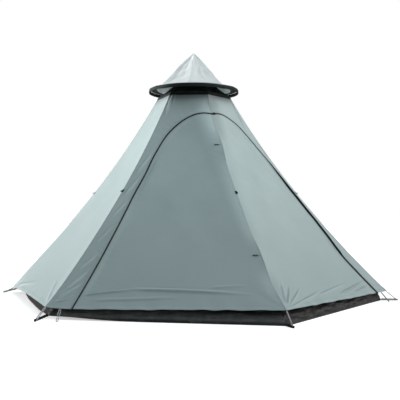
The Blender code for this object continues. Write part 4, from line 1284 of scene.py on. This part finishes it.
class TENT_OT_zips(Operator):
    """Make the two zips: woven tape and nylon coil on the fixed side and on the flap"""

    bl_idname = "tent.zips"
    bl_label = "Zips"

    def execute(self, context):
        for name, line in DOORS.items():
            self.half_zip(name, "fixed", 1, (0.0, line.length - 0.001))
            self.half_zip(name, "flap", -1, flap_zip(line))
            dress_nodes("metal", "zip_slider_" + name, "zip_pull_" + name)
        self.garage(FLY_SIDES["front_right"])
        return {"FINISHED"}

    def half_zip(self, name, part, sign, ends):
        """The tape and the coil on one side of a zip."""
        side = FLY_SIDES["front_" + name]
        line = side.door
        pitch = bpy.context.scene.tent_sizes.coil_pitch
        wide = ZIP_TAPE_HALF + 0.003 + 0.4 * line.wider

        def flat(across, run):
            return -(CLOTH + 0.0008)

        def wound(across, run):
            turn = np.where(np.mod(np.rint((run - ends[0]) / pitch * 2), 2) > 0, 1.0, 0.35)
            return -0.0010 + 0.0016 * np.sin(math.pi * np.clip(across, 0.06, 0.94)) * turn

        for kind, finish, offs, grid, lift, thickness in (
            ("tape", "zip_tape", (0.0004, wide), (3, 420), flat, 0.0007),
            ("coil", "coil", (0.0002, 0.0032), (4, int((ends[1] - ends[0]) / pitch * 2)), wound, 0.0005),
        ):
            label = f"zip_{kind}_{part}_{name}"
            piece = line_strip(
                label, side, line.at, offs, ends, grid, lift, thickness, sign, 0.0006, 0
            )
            dress(piece, finish, "tent" if part == "fixed" else None)
            if part == "flap":
                hinge(piece, name)
            if kind == "tape":
                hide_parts(f"zip_{part}_{name}")

    def garage(self, side):
        """The small sewn tab over the arch's top where the two zips meet."""
        long, wide = 0.030, 0.024

        def place(u, v):
            run = side.door.length - 0.040 + long * (1 - u)
            q, s = side.door.at(run, wide * (v - 0.5))
            return side.place(q, s, 0.0022 + 0.0016 * swell(u, 0.05) * swell(v, 0.05))

        piece = sheet_mesh("zip_garage", 10, 8, place, lambda u, v: (u * long, v * wide))
        dress(piece, "zip_tape", "tent")


def hood_point(turn, v, lift=0.0):
    """The hood at an angle and a share of its height: round at the brim, six-sided above it."""
    arch = np.sin(math.pi * np.clip(v, 0, 1))
    roundness = (1 - v) ** 6
    shape = hexagon(turn, HOOD_CORNER) * (1 - roundness) + roundness
    slack = smooth(off_corner(turn, HOOD_CORNER), 0.0, 0.35) * arch**0.8
    around = turn * BRIM_RADIUS
    waves = unevenness(around, v * 0.55, 0.16, 91) * arch
    brim = np.exp(-v / 0.05) * unevenness(around, v * 0, 0.10, 92) * smooth(v, 0.0, 0.03)
    rise = lift - (0.007 * slack + 0.0022 * waves + 0.0012 * brim)
    height = HOOD_FOOT + (HOOD_TIP - HOOD_FOOT) * v - 0.50 * v * (1 - v) ** 3
    return ringed(turn, BRIM_RADIUS * (1 - v) * shape + rise * 0.62, height + rise * 0.78)


class TENT_OT_vent_hood(Operator):
    """Make the hood, its seams, brim binding and facing, and the net cone under it"""

    bl_idname = "tent.vent_hood"
    bl_label = "Vent hood"

    def execute(self, context):
        self.hood()
        self.brim()
        self.net()
        dress_nodes("rod", "brim_hoop")
        return {"FINISHED"}

    def hood(self):
        def hood(u, v):
            return hood_point(full_turn(u), (1 - (1 - v) ** 1.15) * 0.9995)

        metres = measured(2 * math.pi * 0.25, HOOD_SLANT)
        cap = sheet_mesh("hood", 192, 54, hood, metres, CLOTH, True)
        dress(cap, "cap", "tent")
        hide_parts("vent_cap")
        wide = 0.011
        for index in range(6):

            def seam(u, v, turn=HOOD_CORNER + math.radians(60) * index):
                climb = 0.02 + 0.965 * v
                spread = (u - 0.5) * wide / (BRIM_RADIUS * np.maximum(1 - climb, 0.03))
                return hood_point(turn + spread, climb, 0.0004 + 0.0011 * rounded_top(u))

            label = f"hood_seam_{index + 1}"
            piece = sheet_mesh(label, 6, 60, seam, measured(wide, 0.5), 0.0007)
            dress(piece, "cap_trim", "tent")

    def brim(self):
        long, mouth = 2.7, math.radians(50)

        def facing(u, v):
            under = -(CLOTH + 0.0012) - 0.0005 * np.sin(math.pi * v)
            return hood_point(full_turn(u), 0.012 + 0.095 * v, under)

        def binding(u, v):
            turn = full_turn(u)
            around, level = turn * BRIM_RADIUS, turn * 0
            roll = -math.pi / 2 + mouth / 2 + (2 * math.pi - mouth) * v
            crimp = 1 + 0.05 * np.sin(turn * 96) * np.sin(roll)
            up = 0.0175 * np.sin(roll) * (1 - 0.16 * np.cos(roll) ** 6)
            width = BRIM_RADIUS + 0.0056 * np.cos(roll) * crimp
            width = width + 0.0010 * unevenness(around, level, 0.25, 93)
            return ringed(turn, width, 1.987 + up + 0.0014 * unevenness(around, level, 0.3, 94))

        metres = measured(0.06, long, True)
        piece = sheet_mesh("brim_facing", 144, 6, facing, metres, 0.0008, True)
        dress(piece, "facing", "tent")
        piece = sheet_mesh(
            "brim_tape", 288, 18, binding, lambda u, v: (v * 0.05, u * long), CLOTH, True
        )
        dress(piece, "binding", "tent")
        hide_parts("brim_binding")
        turns = np.linspace(0, 2 * math.pi, 120, endpoint=False)
        for out, height, label in ((0.0056, 1.9735, "lower"), (-0.0068, 1.980, "inner")):
            points = ringed(turns, BRIM_RADIUS + out, np.full(len(turns), height))
            thread = tube_mesh("brim_stitch_" + label, points, 0.0008, 6)
            dress(thread, "facing", "tent")

    def net(self):
        def net(u, v):
            turn = full_turn(u)
            low = NECK_RADIUS - 0.0018
            width = low + (POLE_HOLE - low) * v
            height = NECK_HEIGHT + (2.270 - NECK_HEIGHT) * v - 4 * 0.034 * v * (1 - v)
            shape = hexagon(turn, FRONT_TURN) * (1 - v * v) + v * v
            waves = 0.003 * unevenness(turn * 0.3, v * 0.4, 0.12, 95) * np.sin(math.pi * v)
            return ringed(turn, width * shape, height + waves)

        piece = sheet_mesh("vent_mesh", 120, 36, net, measured(2.0, 0.46), CLOTH, True)
        dress(piece, "net", "tent")
        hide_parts("vent_net")


class TENT_OT_pole(Operator):
    """Finish the centre pole's three lengths, its rubber foot and its plug"""

    bl_idname = "tent.pole"
    bl_label = "Centre pole"

    def execute(self, context):
        dress_nodes("pole", "pole_lower", "pole_middle", "pole_upper")
        dress_nodes("rubber", "pole_foot", "pole_top")
        return {"FINISHED"}


INNER_SIDES = {"left": 150, "front_right": 270, "right": 330, "back_right": 390, "back_left": 90}
INNER_INSET = 0.0012
# The inner door's heights up its plane, and half its width
SILL, SPRING, ARCH_TOP, ARCH_HALF = 0.045, 0.62, 1.385, 0.52


def inner_door_half(up, half=ARCH_HALF, top=ARCH_TOP):
    """Half the inner door's width at a height up its plane."""
    rise = np.clip((up - SPRING) / (top - SPRING), 0, 1)
    return half * np.sqrt(np.clip(1 - rise * rise, 0, 1))


class InnerPlane:
    """The straight plane of the inner door, and the way from it to the sagging inner skin."""

    def __init__(self):
        self.side = Side(INNER, 210, 270)
        middle = np.array(0.5)
        self.foot = self.side.bare(middle, np.array(0.0))
        head = self.side.bare(middle, np.array(1.34 / INNER.slant()))
        self.up = unit(head - self.foot)
        ends = self.side.bare(np.array([0.0, 1.0]), np.zeros(2))
        self.across = unit(ends[1] - ends[0])

    def share(self, x, y):
        """(q, s) of the skin's point that lies x across and y up in the plane."""
        x, y = np.broadcast_arrays(np.asarray(x, float), np.asarray(y, float))
        q, s = np.full(x.shape, 0.5), y / INNER.slant()
        for _ in range(6):
            away = self.side.bare(q, s) - self.foot
            by_q, by_s, _ = self.side.slopes(q, s)
            s = s + (y - away @ self.up) / (by_s @ self.up)
            q = q + (x - away @ self.across) / (by_q @ self.across)
        return q, s

    def place(self, x, y, lift=0.0):
        return self.side.place(*self.share(x, y), lift, False)


class TENT_OT_inner_tent(Operator):
    """Make the inner tent's net sides, collar and arched door with its zip"""

    bl_idname = "tent.inner_tent"
    bl_label = "Inner tent"

    def execute(self, context):
        area = cloth_area(Side(INNER, 150, 210))
        for name, first in INNER_SIDES.items():
            rows = full_rows(INNER, INNER_INSET, np.linspace(0, 1, 49))
            side = Side(INNER, first, first + 60)
            piece = row_sheet("inner_side_" + name, side, rows, 36, dressed=False)
            dress(piece, "inner", "tent")
            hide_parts("inner_" + name)
        plane = InnerPlane()
        cut = 2 * ARCH_HALF * (SPRING - SILL) + math.pi / 2 * ARCH_HALF * (ARCH_TOP - SPRING)
        self.door_side(plane, area - cut)
        self.door(plane, cut * 0.99)
        self.door_zip(plane)
        self.collar()
        dress_nodes("metal", "inner_slider", "inner_pull")
        return {"FINISHED"}

    def collar(self):
        radius, height = INNER.top

        def collar(u, v):
            turn = full_turn(u)
            width = radius + (POLE_HOLE - radius) * v
            shape = hexagon(turn, FRONT_TURN) * (1 - v) + v
            gathers = 1 + 0.05 * np.sin(turn * 18) * np.sin(math.pi * v)
            return ringed(turn, width * shape * gathers, height + 0.0016 + 0.035 * v)

        piece = sheet_mesh(
            "inner_collar_cloth", 108, 10, collar, lambda u, v: (u * 0.35, v * 0.06), CLOTH, True
        )
        dress(piece, "inner_trim", "tent")
        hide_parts("inner_collar")

    def door_side(self, plane, area):
        """The side round the inner door, made as a left and a right half and joined."""
        arch = np.sin(np.linspace(0.08, math.pi / 2, 22))
        heights = np.concatenate(
            [
                [0, SILL / 2, SILL - 0.0002],
                np.linspace(SILL, SPRING, 14),
                SPRING + (ARCH_TOP - SPRING) * arch,
                np.linspace(ARCH_TOP + 0.004, 2.40, 16),
            ]
        )
        halves = []
        for label, sign in (("a", -1), ("b", 1)):
            rows = []
            for up in heights:
                inside = SILL <= up <= ARCH_TOP
                half = float(inner_door_half(np.array(up))) if inside else 0.0
                q, s = plane.share(sign * half, up)
                s = float(min(s, 1.0))
                edge = INNER_INSET / INNER.radius(s)
                far = 1 - edge if sign > 0 else edge
                if not rows or s > rows[-1][2]:
                    rows.append((min(float(q), far), max(float(q), far), s))
            halves.append(row_sheet("inner_half_" + label, plane.side, rows, 18, dressed=False))
        panel = join_all("inner_side_front_left", halves)
        dress(panel, "inner", "tent")
        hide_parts("inner_front_left")

    def door(self, plane, area):
        """The arched door, a little smaller than its opening."""
        half, top = ARCH_HALF - 0.003, ARCH_TOP - 0.003
        low = SILL + 0.0006

        def where(u, v):
            up = low + (top - low) * np.sin(v * math.pi / 2)
            return (u - 0.5) * 2 * np.maximum(inner_door_half(up, half, top), 0.0005), up

        def place(u, v):
            return plane.place(*where(u, v))

        def metres(u, v):
            return plane.side.metres(*plane.share(*where(u, v)))

        piece = sheet_mesh("inner_door_net", 40, 56, place, metres)
        dress(piece, "inner", "inner_door")
        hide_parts("inner_door")

    def door_zip(self, plane):
        """The zip's tape: up one side of the door, round its arch and down the other."""
        straight = np.linspace(SILL, SPRING, 16)[:-1]
        turn = np.linspace(0, math.pi, 60)
        line_x = np.concatenate([np.full(15, 1.0), np.cos(turn), np.full(15, -1.0)])
        line_y = np.concatenate([straight, np.sin(turn), straight[::-1]])
        count, wide = len(line_x) - 1, 0.012

        def tape(u, v):
            row = steps_of(v, count)
            reach = wide / 2 * (2 * u - 1)
            rise = SPRING + (ARCH_TOP + reach - SPRING) * line_y[row]
            y = np.where((row >= 15) & (row < 75), rise, line_y[row])
            return plane.place(line_x[row] * (ARCH_HALF + reach), y, 0.0027)

        piece = sheet_mesh("inner_zip_tape", 4, count, tape, measured(wide, 3.4), 0.0015)
        dress(piece, "zip_tape", "tent")
        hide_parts("inner_zip")


def floor_outline(turn):
    """The floor's edge, straight between its corners, and how far the pegs lift it."""
    edge, raised = np.zeros_like(turn), np.zeros_like(turn)
    step = math.radians(60)
    for first, near in FLOOR_CORNERS.items():
        far = FLOOR_CORNERS[first + 60 if first < 450 else 150]
        run = np.mod(turn - math.radians(first), 2 * math.pi)
        line = near * far * math.sin(step) / (near * np.sin(run) + far * np.sin(step - run))
        edge = np.where(run < step, line, edge)
    for degrees, lift in FLOOR_LIFT.items():
        off = np.mod(turn - math.radians(degrees) + math.pi, 2 * math.pi) - math.pi
        raised = raised + lift * np.exp(-((off / 0.20) ** 2))
    return edge, raised


class TENT_OT_tub_floor(Operator):
    """Make the black floor with its creased wall and corner tucks, and the patch under the pole"""

    bl_idname = "tent.tub_floor"
    bl_label = "Tub floor"

    def execute(self, context):
        fold = context.scene.tent_sizes.wall_fold
        foot, top, tall, thick = 1.763, 1.700, 0.150, 0.0016
        flat_rows, wall_rows = 8, 26
        rows = flat_rows + wall_rows

        def tub(u, v):
            turn = full_turn(u)
            corner = hexagon(turn, FRONT_TURN)
            row = steps_of(v, rows)
            spread = np.minimum(row / flat_rows, 1)
            climb = np.clip((row - flat_rows) / wall_rows, 0, 1)
            around, height = turn * foot, tall * climb
            level = around * 0
            creases = unevenness(around, height, 0.34, 131, 9.0)
            creases = creases + 0.6 * unevenness(around, height, 0.15, 132, 7.0)
            near_corner = np.exp(-((off_corner(turn, FRONT_TURN) * foot / 0.10) ** 2))
            tucks = np.sin(around * 2 * math.pi / 0.045) * near_corner
            belly = np.sin(math.pi * climb) ** 0.7
            wave = fold * (0.75 * creases + 0.55 * tucks) * belly + 0.006 * belly
            wave = wave + 0.003 * unevenness(around, level, 0.5, 133) * belly
            base, raised = floor_outline(turn)
            wall = base + (top * corner - base) * climb + wave * corner
            sag = 0.0035 * unevenness(around, level, 0.4, 134) * climb * (climb > 0.3)
            raised = raised * np.where(climb > 0, 1 - climb, spread)
            return ringed(turn, np.where(climb > 0, wall, spread * base), height + sag + raised)

        def metres(u, v):
            row = steps_of(v, rows)
            wall = np.clip(row - flat_rows, 0, None) / wall_rows * tall
            return (u - 0.5) * 6 * foot, np.minimum(row / flat_rows, 1) * foot + wall

        piece = sheet_mesh("tub", 660, rows, tub, metres, thick, True)
        dress(piece, "tub", "tent")
        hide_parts("tub_floor")
        patch = ((0, 0.0028), (0.0575, 0.0028), (0.0588, 0.0024), (0.0600, thick))
        dress(turned_mesh("pole_patch_disc", patch, 48), "rubber", "tent")
        return {"FINISHED"}


def strap_loop(name, long, half, width, thick, steps, origin, along, across):
    """A loop of webbing on its edge, long from an origin along a direction."""
    outline = []
    for centre, first in ((long - half, -90), (half, 90)):
        for step in range(steps + 1):
            turn = math.radians(first + 180 * step / steps)
            outline.append((centre + half * math.cos(turn), half * math.sin(turn)))
    outline = np.array(outline + outline[:1])
    count = len(outline) - 1
    run = np.concatenate([[0], np.cumsum(np.linalg.norm(np.diff(outline, axis=0), axis=1))])

    def place(u, v):
        at = outline[steps_of(u, count)]
        return np.stack([at[:, 0], at[:, 1], (v - 0.5) * width], 1)

    def metres(u, v):
        return (v - 0.5) * width, run[steps_of(u, count)]

    piece = sheet_mesh(name, count, 4, place, metres, 0, True)
    apply_modifier(piece, "SOLIDIFY", thickness=thick, offset=-1.0)
    apply_modifier(piece, "BEVEL", width=thick * 0.25, segments=2, limit_method="ANGLE")
    smooth_faces(piece)
    piece.matrix_world = basis(origin, along, across, along.cross(across))
    settle(piece)
    return piece


class TENT_OT_guy_loops(Operator):
    """Make the small webbing loops half way up the ribs, with their sewn patches"""

    bl_idname = "tent.guy_loops"
    bl_label = "Guy loops"

    def execute(self, context):
        s, share = FLY.share(GUY_HEIGHT), 0.016 / SKIN_SLANT
        for name, degrees in CORNERS.items():
            _, sideways = directions(degrees)
            below, here, above = (rib_point(degrees, s + step) for step in (-0.0005, 0, 0.0005))
            up = (above - below).normalized()
            outward = sideways.cross(up)
            if degrees == FRONT:
                here = here + outward * float(rounding(0.0, s * SKIN_SLANT))
            lean = (outward * 0.6 - up * 0.8).normalized()
            across = outward.cross(up).cross(lean)
            label, here = "guy_strap_" + name, here + outward * 0.0010
            piece = strap_loop(label, 0.019, 0.006, 0.011, 0.0020, 10, here, lean, across)
            dress(piece, "webbing", "tent")
            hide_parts("guy_loop_" + name)
            patch = rib_band("guy_patch_" + name, degrees, s - share, s + share, 0.013, 0.0006, 12)
            dress(patch, "webbing", "tent")
        return {"FINISHED"}


def directions(degrees):
    """The way outwards at an angle and the way across it."""
    angle = math.radians(degrees)
    return (
        Vector((math.cos(angle), math.sin(angle), 0)),
        Vector((-math.sin(angle), math.cos(angle), 0)),
    )


def rib_point(degrees, s):
    point = directions(degrees)[0] * FLY.radius(s)
    point.z = FLY.height(s)
    return point


def cord_loop(name, start, end, across, half, radius):
    """A closed loop of cord from start to end, with points all along its straight runs."""
    direction = (end - start).normalized()
    points = []
    for centre, sign in ((end - direction * half, 1), (start + direction * half, -1)):
        for step in range(9):
            turn = math.radians(-90 + 180 * step / 8)
            off = direction * math.cos(turn) + across * math.sin(turn)
            points.append(centre + off * half * sign)
    evened = []
    for first, second in zip(points, points[1:] + points[:1]):
        count = max(int((second - first).length / 0.010), 1)
        evened.extend(first.lerp(second, step / count) for step in range(count))
    return tube_mesh(name, evened, radius)


class TENT_OT_ground_loops(Operator):
    """Make the cord loops of the fly's corners and zips and the webbing loops of the floor"""

    bl_idname = "tent.ground_loops"
    bl_label = "Ground loops"

    def execute(self, context):
        for name, degrees in CORNERS.items():
            self.corner(name, degrees)
        for name in SIDES:
            side = FLY_SIDES["front_" + name]
            foot = np.array(0.935), np.array(0.0)
            hem, across = Vector(side.bare(*foot)), Vector(side.slopes(*foot)[0]).normalized()
            outward = directions(math.degrees(side.middle))[0]
            start = hem - outward * CLOTH - Vector((0, 0, 0.0038))
            end = hem + outward * 0.075
            end.z = 0.0030
            piece = cord_loop("zip_cord_" + name, start, end, across, 0.007, 0.0028)
            dress(piece, "cord", "tent")
            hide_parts("zip_peg_loop_" + name)
        return {"FINISHED"}

    def corner(self, name, degrees):
        """The fly's cord loop, the floor's webbing loop and the patch that doubles the cloth over the
        hem.
        """
        outward, across = directions(degrees)
        half, radius = (0.003, 0.0026) if name == "front" else (0.008, 0.0036)
        height = CORNER_HEIGHT + CORNER_LIFT.get(degrees, 0.0) - 0.0038
        start = outward * (CORNER_RADIUS - CLOTH) + Vector((0, 0, height))
        end = outward * CORD_REACH + Vector((0, 0, 0.0052))
        piece = cord_loop("corner_cord_" + name, start, end, across, half, radius)
        dress(piece, "cord", "tent")
        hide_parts("fly_peg_loop_" + name)
        low = 0.0084
        raised = Vector((0, 0, low + FLOOR_LIFT.get(degrees, 0.0)))
        foot = outward * (FLOOR_CORNERS[degrees] + 0.0004) + raised
        reach = outward * STRAP_REACH + Vector((0, 0, low)) - foot
        label, along = "floor_strap_" + name, reach.normalized()
        piece = strap_loop(label, reach.length, 0.009, 0.016, 0.0026, 12, foot, along, across)
        tape = "pale_webbing" if name in ("left_back", "right_front") else "webbing"
        dress(piece, tape, "tent")
        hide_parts("floor_peg_loop_" + name)
        high = 0.040 / SKIN_SLANT
        patch = rib_band("corner_patch_" + name, degrees, 0.0, high, 0.010, 0.0024, 10)
        dress(patch, "hem", "tent")


class TENT_OT_toggles(Operator):
    """Finish the two toggles that hold a rolled flap"""

    bl_idname = "tent.toggles"
    bl_label = "Toggles"

    def execute(self, context):
        dress_nodes("toggle", "toggle_upper", "toggle_lower")
        return {"FINISHED"}


CAMERA = {
    "lens": 62.41,
    "azimuth": -21.89,
    "distance": 6.7512,
    "height": 0.8567,
    "pitch": 0.0119,
    "yaw": -0.5415,
    "roll": 0.0028,
}


class TENT_OT_studio(Operator):
    """Make the pale floor, the soft lights and the camera at the photograph's view"""

    bl_idname = "tent.studio"
    bl_label = "Studio"

    def execute(self, context):
        scene = context.scene
        scene.view_settings.view_transform = "Standard"
        deselect()
        bpy.ops.mesh.primitive_plane_add(size=60, location=(0, 0, 0))
        ground = context.object
        ground.name = "ground"
        pale = tuple(scene.tent_colours.ground)
        finish = Finish("Studio floor", pale, 0.9, Specular_IOR_Level=0.1)
        rays = finish.add("LightPath", output="Is Camera Ray")
        finish.set("Base Color", finish.mixed(rays, (*(0.6 * c for c in pale), 1), (1, 1, 1, 1)))
        finish.set("Emission Color", finish.mixed(rays, (0, 0, 0, 1), (0.5, 0.5, 0.5, 1)))
        finish.set("Emission Strength", 1.0)
        ground.data.materials.append(finish.material)
        self.sky(scene)
        self.sun("Left window", (-0.74, 0.70, 0.08), 7.3, 30, (1.0, 0.985, 0.97))
        self.sun("Right window", (0.90, -0.38, 0.12), 2.7, 70, (1.0, 0.94, 0.90))
        self.sun("Right skylight", (0.55, -0.45, 0.80), 1.30, 60, (0.94, 0.97, 1.0))
        self.sun("Front light", (-0.14, -0.5, 1.0), 0.65, 50, (0.76, 0.95, 1.0))
        self.camera(scene)
        return {"FINISHED"}

    def sky(self, scene):
        world = scene.world or bpy.data.worlds.new("Studio sky")
        scene.world = world
        world.use_nodes = True
        nodes, links = world.node_tree.nodes, world.node_tree.links
        nodes.clear()
        out = nodes.new("ShaderNodeOutputWorld")
        path, mix = nodes.new("ShaderNodeLightPath"), nodes.new("ShaderNodeMixShader")
        links.new(path.outputs["Is Camera Ray"], mix.inputs[0])
        # What lights the tent, then what the camera sees
        for socket, tint, strength in ((1, (0.86, 0.95, 1.0, 1), 0.06), (2, (1, 1, 1, 1), 1.0)):
            background = nodes.new("ShaderNodeBackground")
            background.inputs["Color"].default_value = tint
            background.inputs["Strength"].default_value = strength
            links.new(background.outputs[0], mix.inputs[socket])
        links.new(mix.outputs[0], out.inputs["Surface"])

    def sun(self, name, towards, strength, softness, tint):
        light = bpy.data.lights.new(name, "SUN")
        light.energy = strength
        light.angle = math.radians(softness)
        light.color = tint
        lamp = bpy.data.objects.new(name, light)
        bpy.context.scene.collection.objects.link(lamp)
        lamp.rotation_euler = Vector(towards).to_track_quat("Z", "Y").to_euler()

    def camera(self, scene):
        view = bpy.data.cameras.new("Photo camera")
        view.lens = CAMERA["lens"]
        view.sensor_width = 36
        view.clip_end = 200
        eye = bpy.data.objects.new("Photo camera", view)
        scene.collection.objects.link(eye)
        azimuth = math.radians(CAMERA["azimuth"])
        turn = azimuth + math.radians(CAMERA["yaw"])
        pitch, roll = CAMERA["pitch"], CAMERA["roll"]
        ahead = Vector(
            (-math.sin(turn) * math.cos(pitch), math.cos(turn) * math.cos(pitch), math.sin(pitch))
        )
        level = Vector((math.cos(turn), math.sin(turn), 0))
        upright = level.cross(ahead)
        right = level * math.cos(roll) + upright * math.sin(roll)
        up = upright * math.cos(roll) - level * math.sin(roll)
        distance = CAMERA["distance"]
        where = math.sin(azimuth) * distance, -math.cos(azimuth) * distance, CAMERA["height"]
        eye.matrix_world = basis(where, right, up, -ahead)
        scene.camera = eye


OPERATORS = (
    TENT_OT_fly_sides,
    TENT_OT_door_surround,
    TENT_OT_door_flaps,
    TENT_OT_rib_seams,
    TENT_OT_zips,
    TENT_OT_vent_hood,
    TENT_OT_pole,
    TENT_OT_inner_tent,
    TENT_OT_tub_floor,
    TENT_OT_guy_loops,
    TENT_OT_ground_loops,
    TENT_OT_toggles,
    TENT_OT_studio,
)


class TENT_PT_builder(Panel):
    """Lists the tent's sizes, colours and building steps"""

    bl_label = "Pyramid tent"
    bl_idname = "TENT_PT_builder"
    bl_space_type = "VIEW_3D"
    bl_region_type = "UI"
    bl_category = "Tent"

    def draw(self, context):
        layout = self.layout
        for group in (context.scene.tent_sizes, context.scene.tent_colours):
            box = layout.box()
            for key in group.bl_rna.properties.keys():
                if key not in ("rna_type", "name"):
                    box.prop(group, key)
        for operator in OPERATORS:
            layout.operator(operator.bl_idname)


CLASSES = (TentSizes, TentColours, *OPERATORS, TENT_PT_builder)


def register():
    for cls in CLASSES:
        bpy.utils.register_class(cls)
    bpy.types.Scene.tent_sizes = PointerProperty(type=TentSizes)
    bpy.types.Scene.tent_colours = PointerProperty(type=TentColours)


def unregister():
    del bpy.types.Scene.tent_colours
    del bpy.types.Scene.tent_sizes
    for cls in reversed(CLASSES):
        bpy.utils.unregister_class(cls)


def main():
    register()
    for operator in OPERATORS:
        group, name = operator.bl_idname.split(".")
        getattr(getattr(bpy.ops, group), name)()


if __name__ == "__main__":
    main()
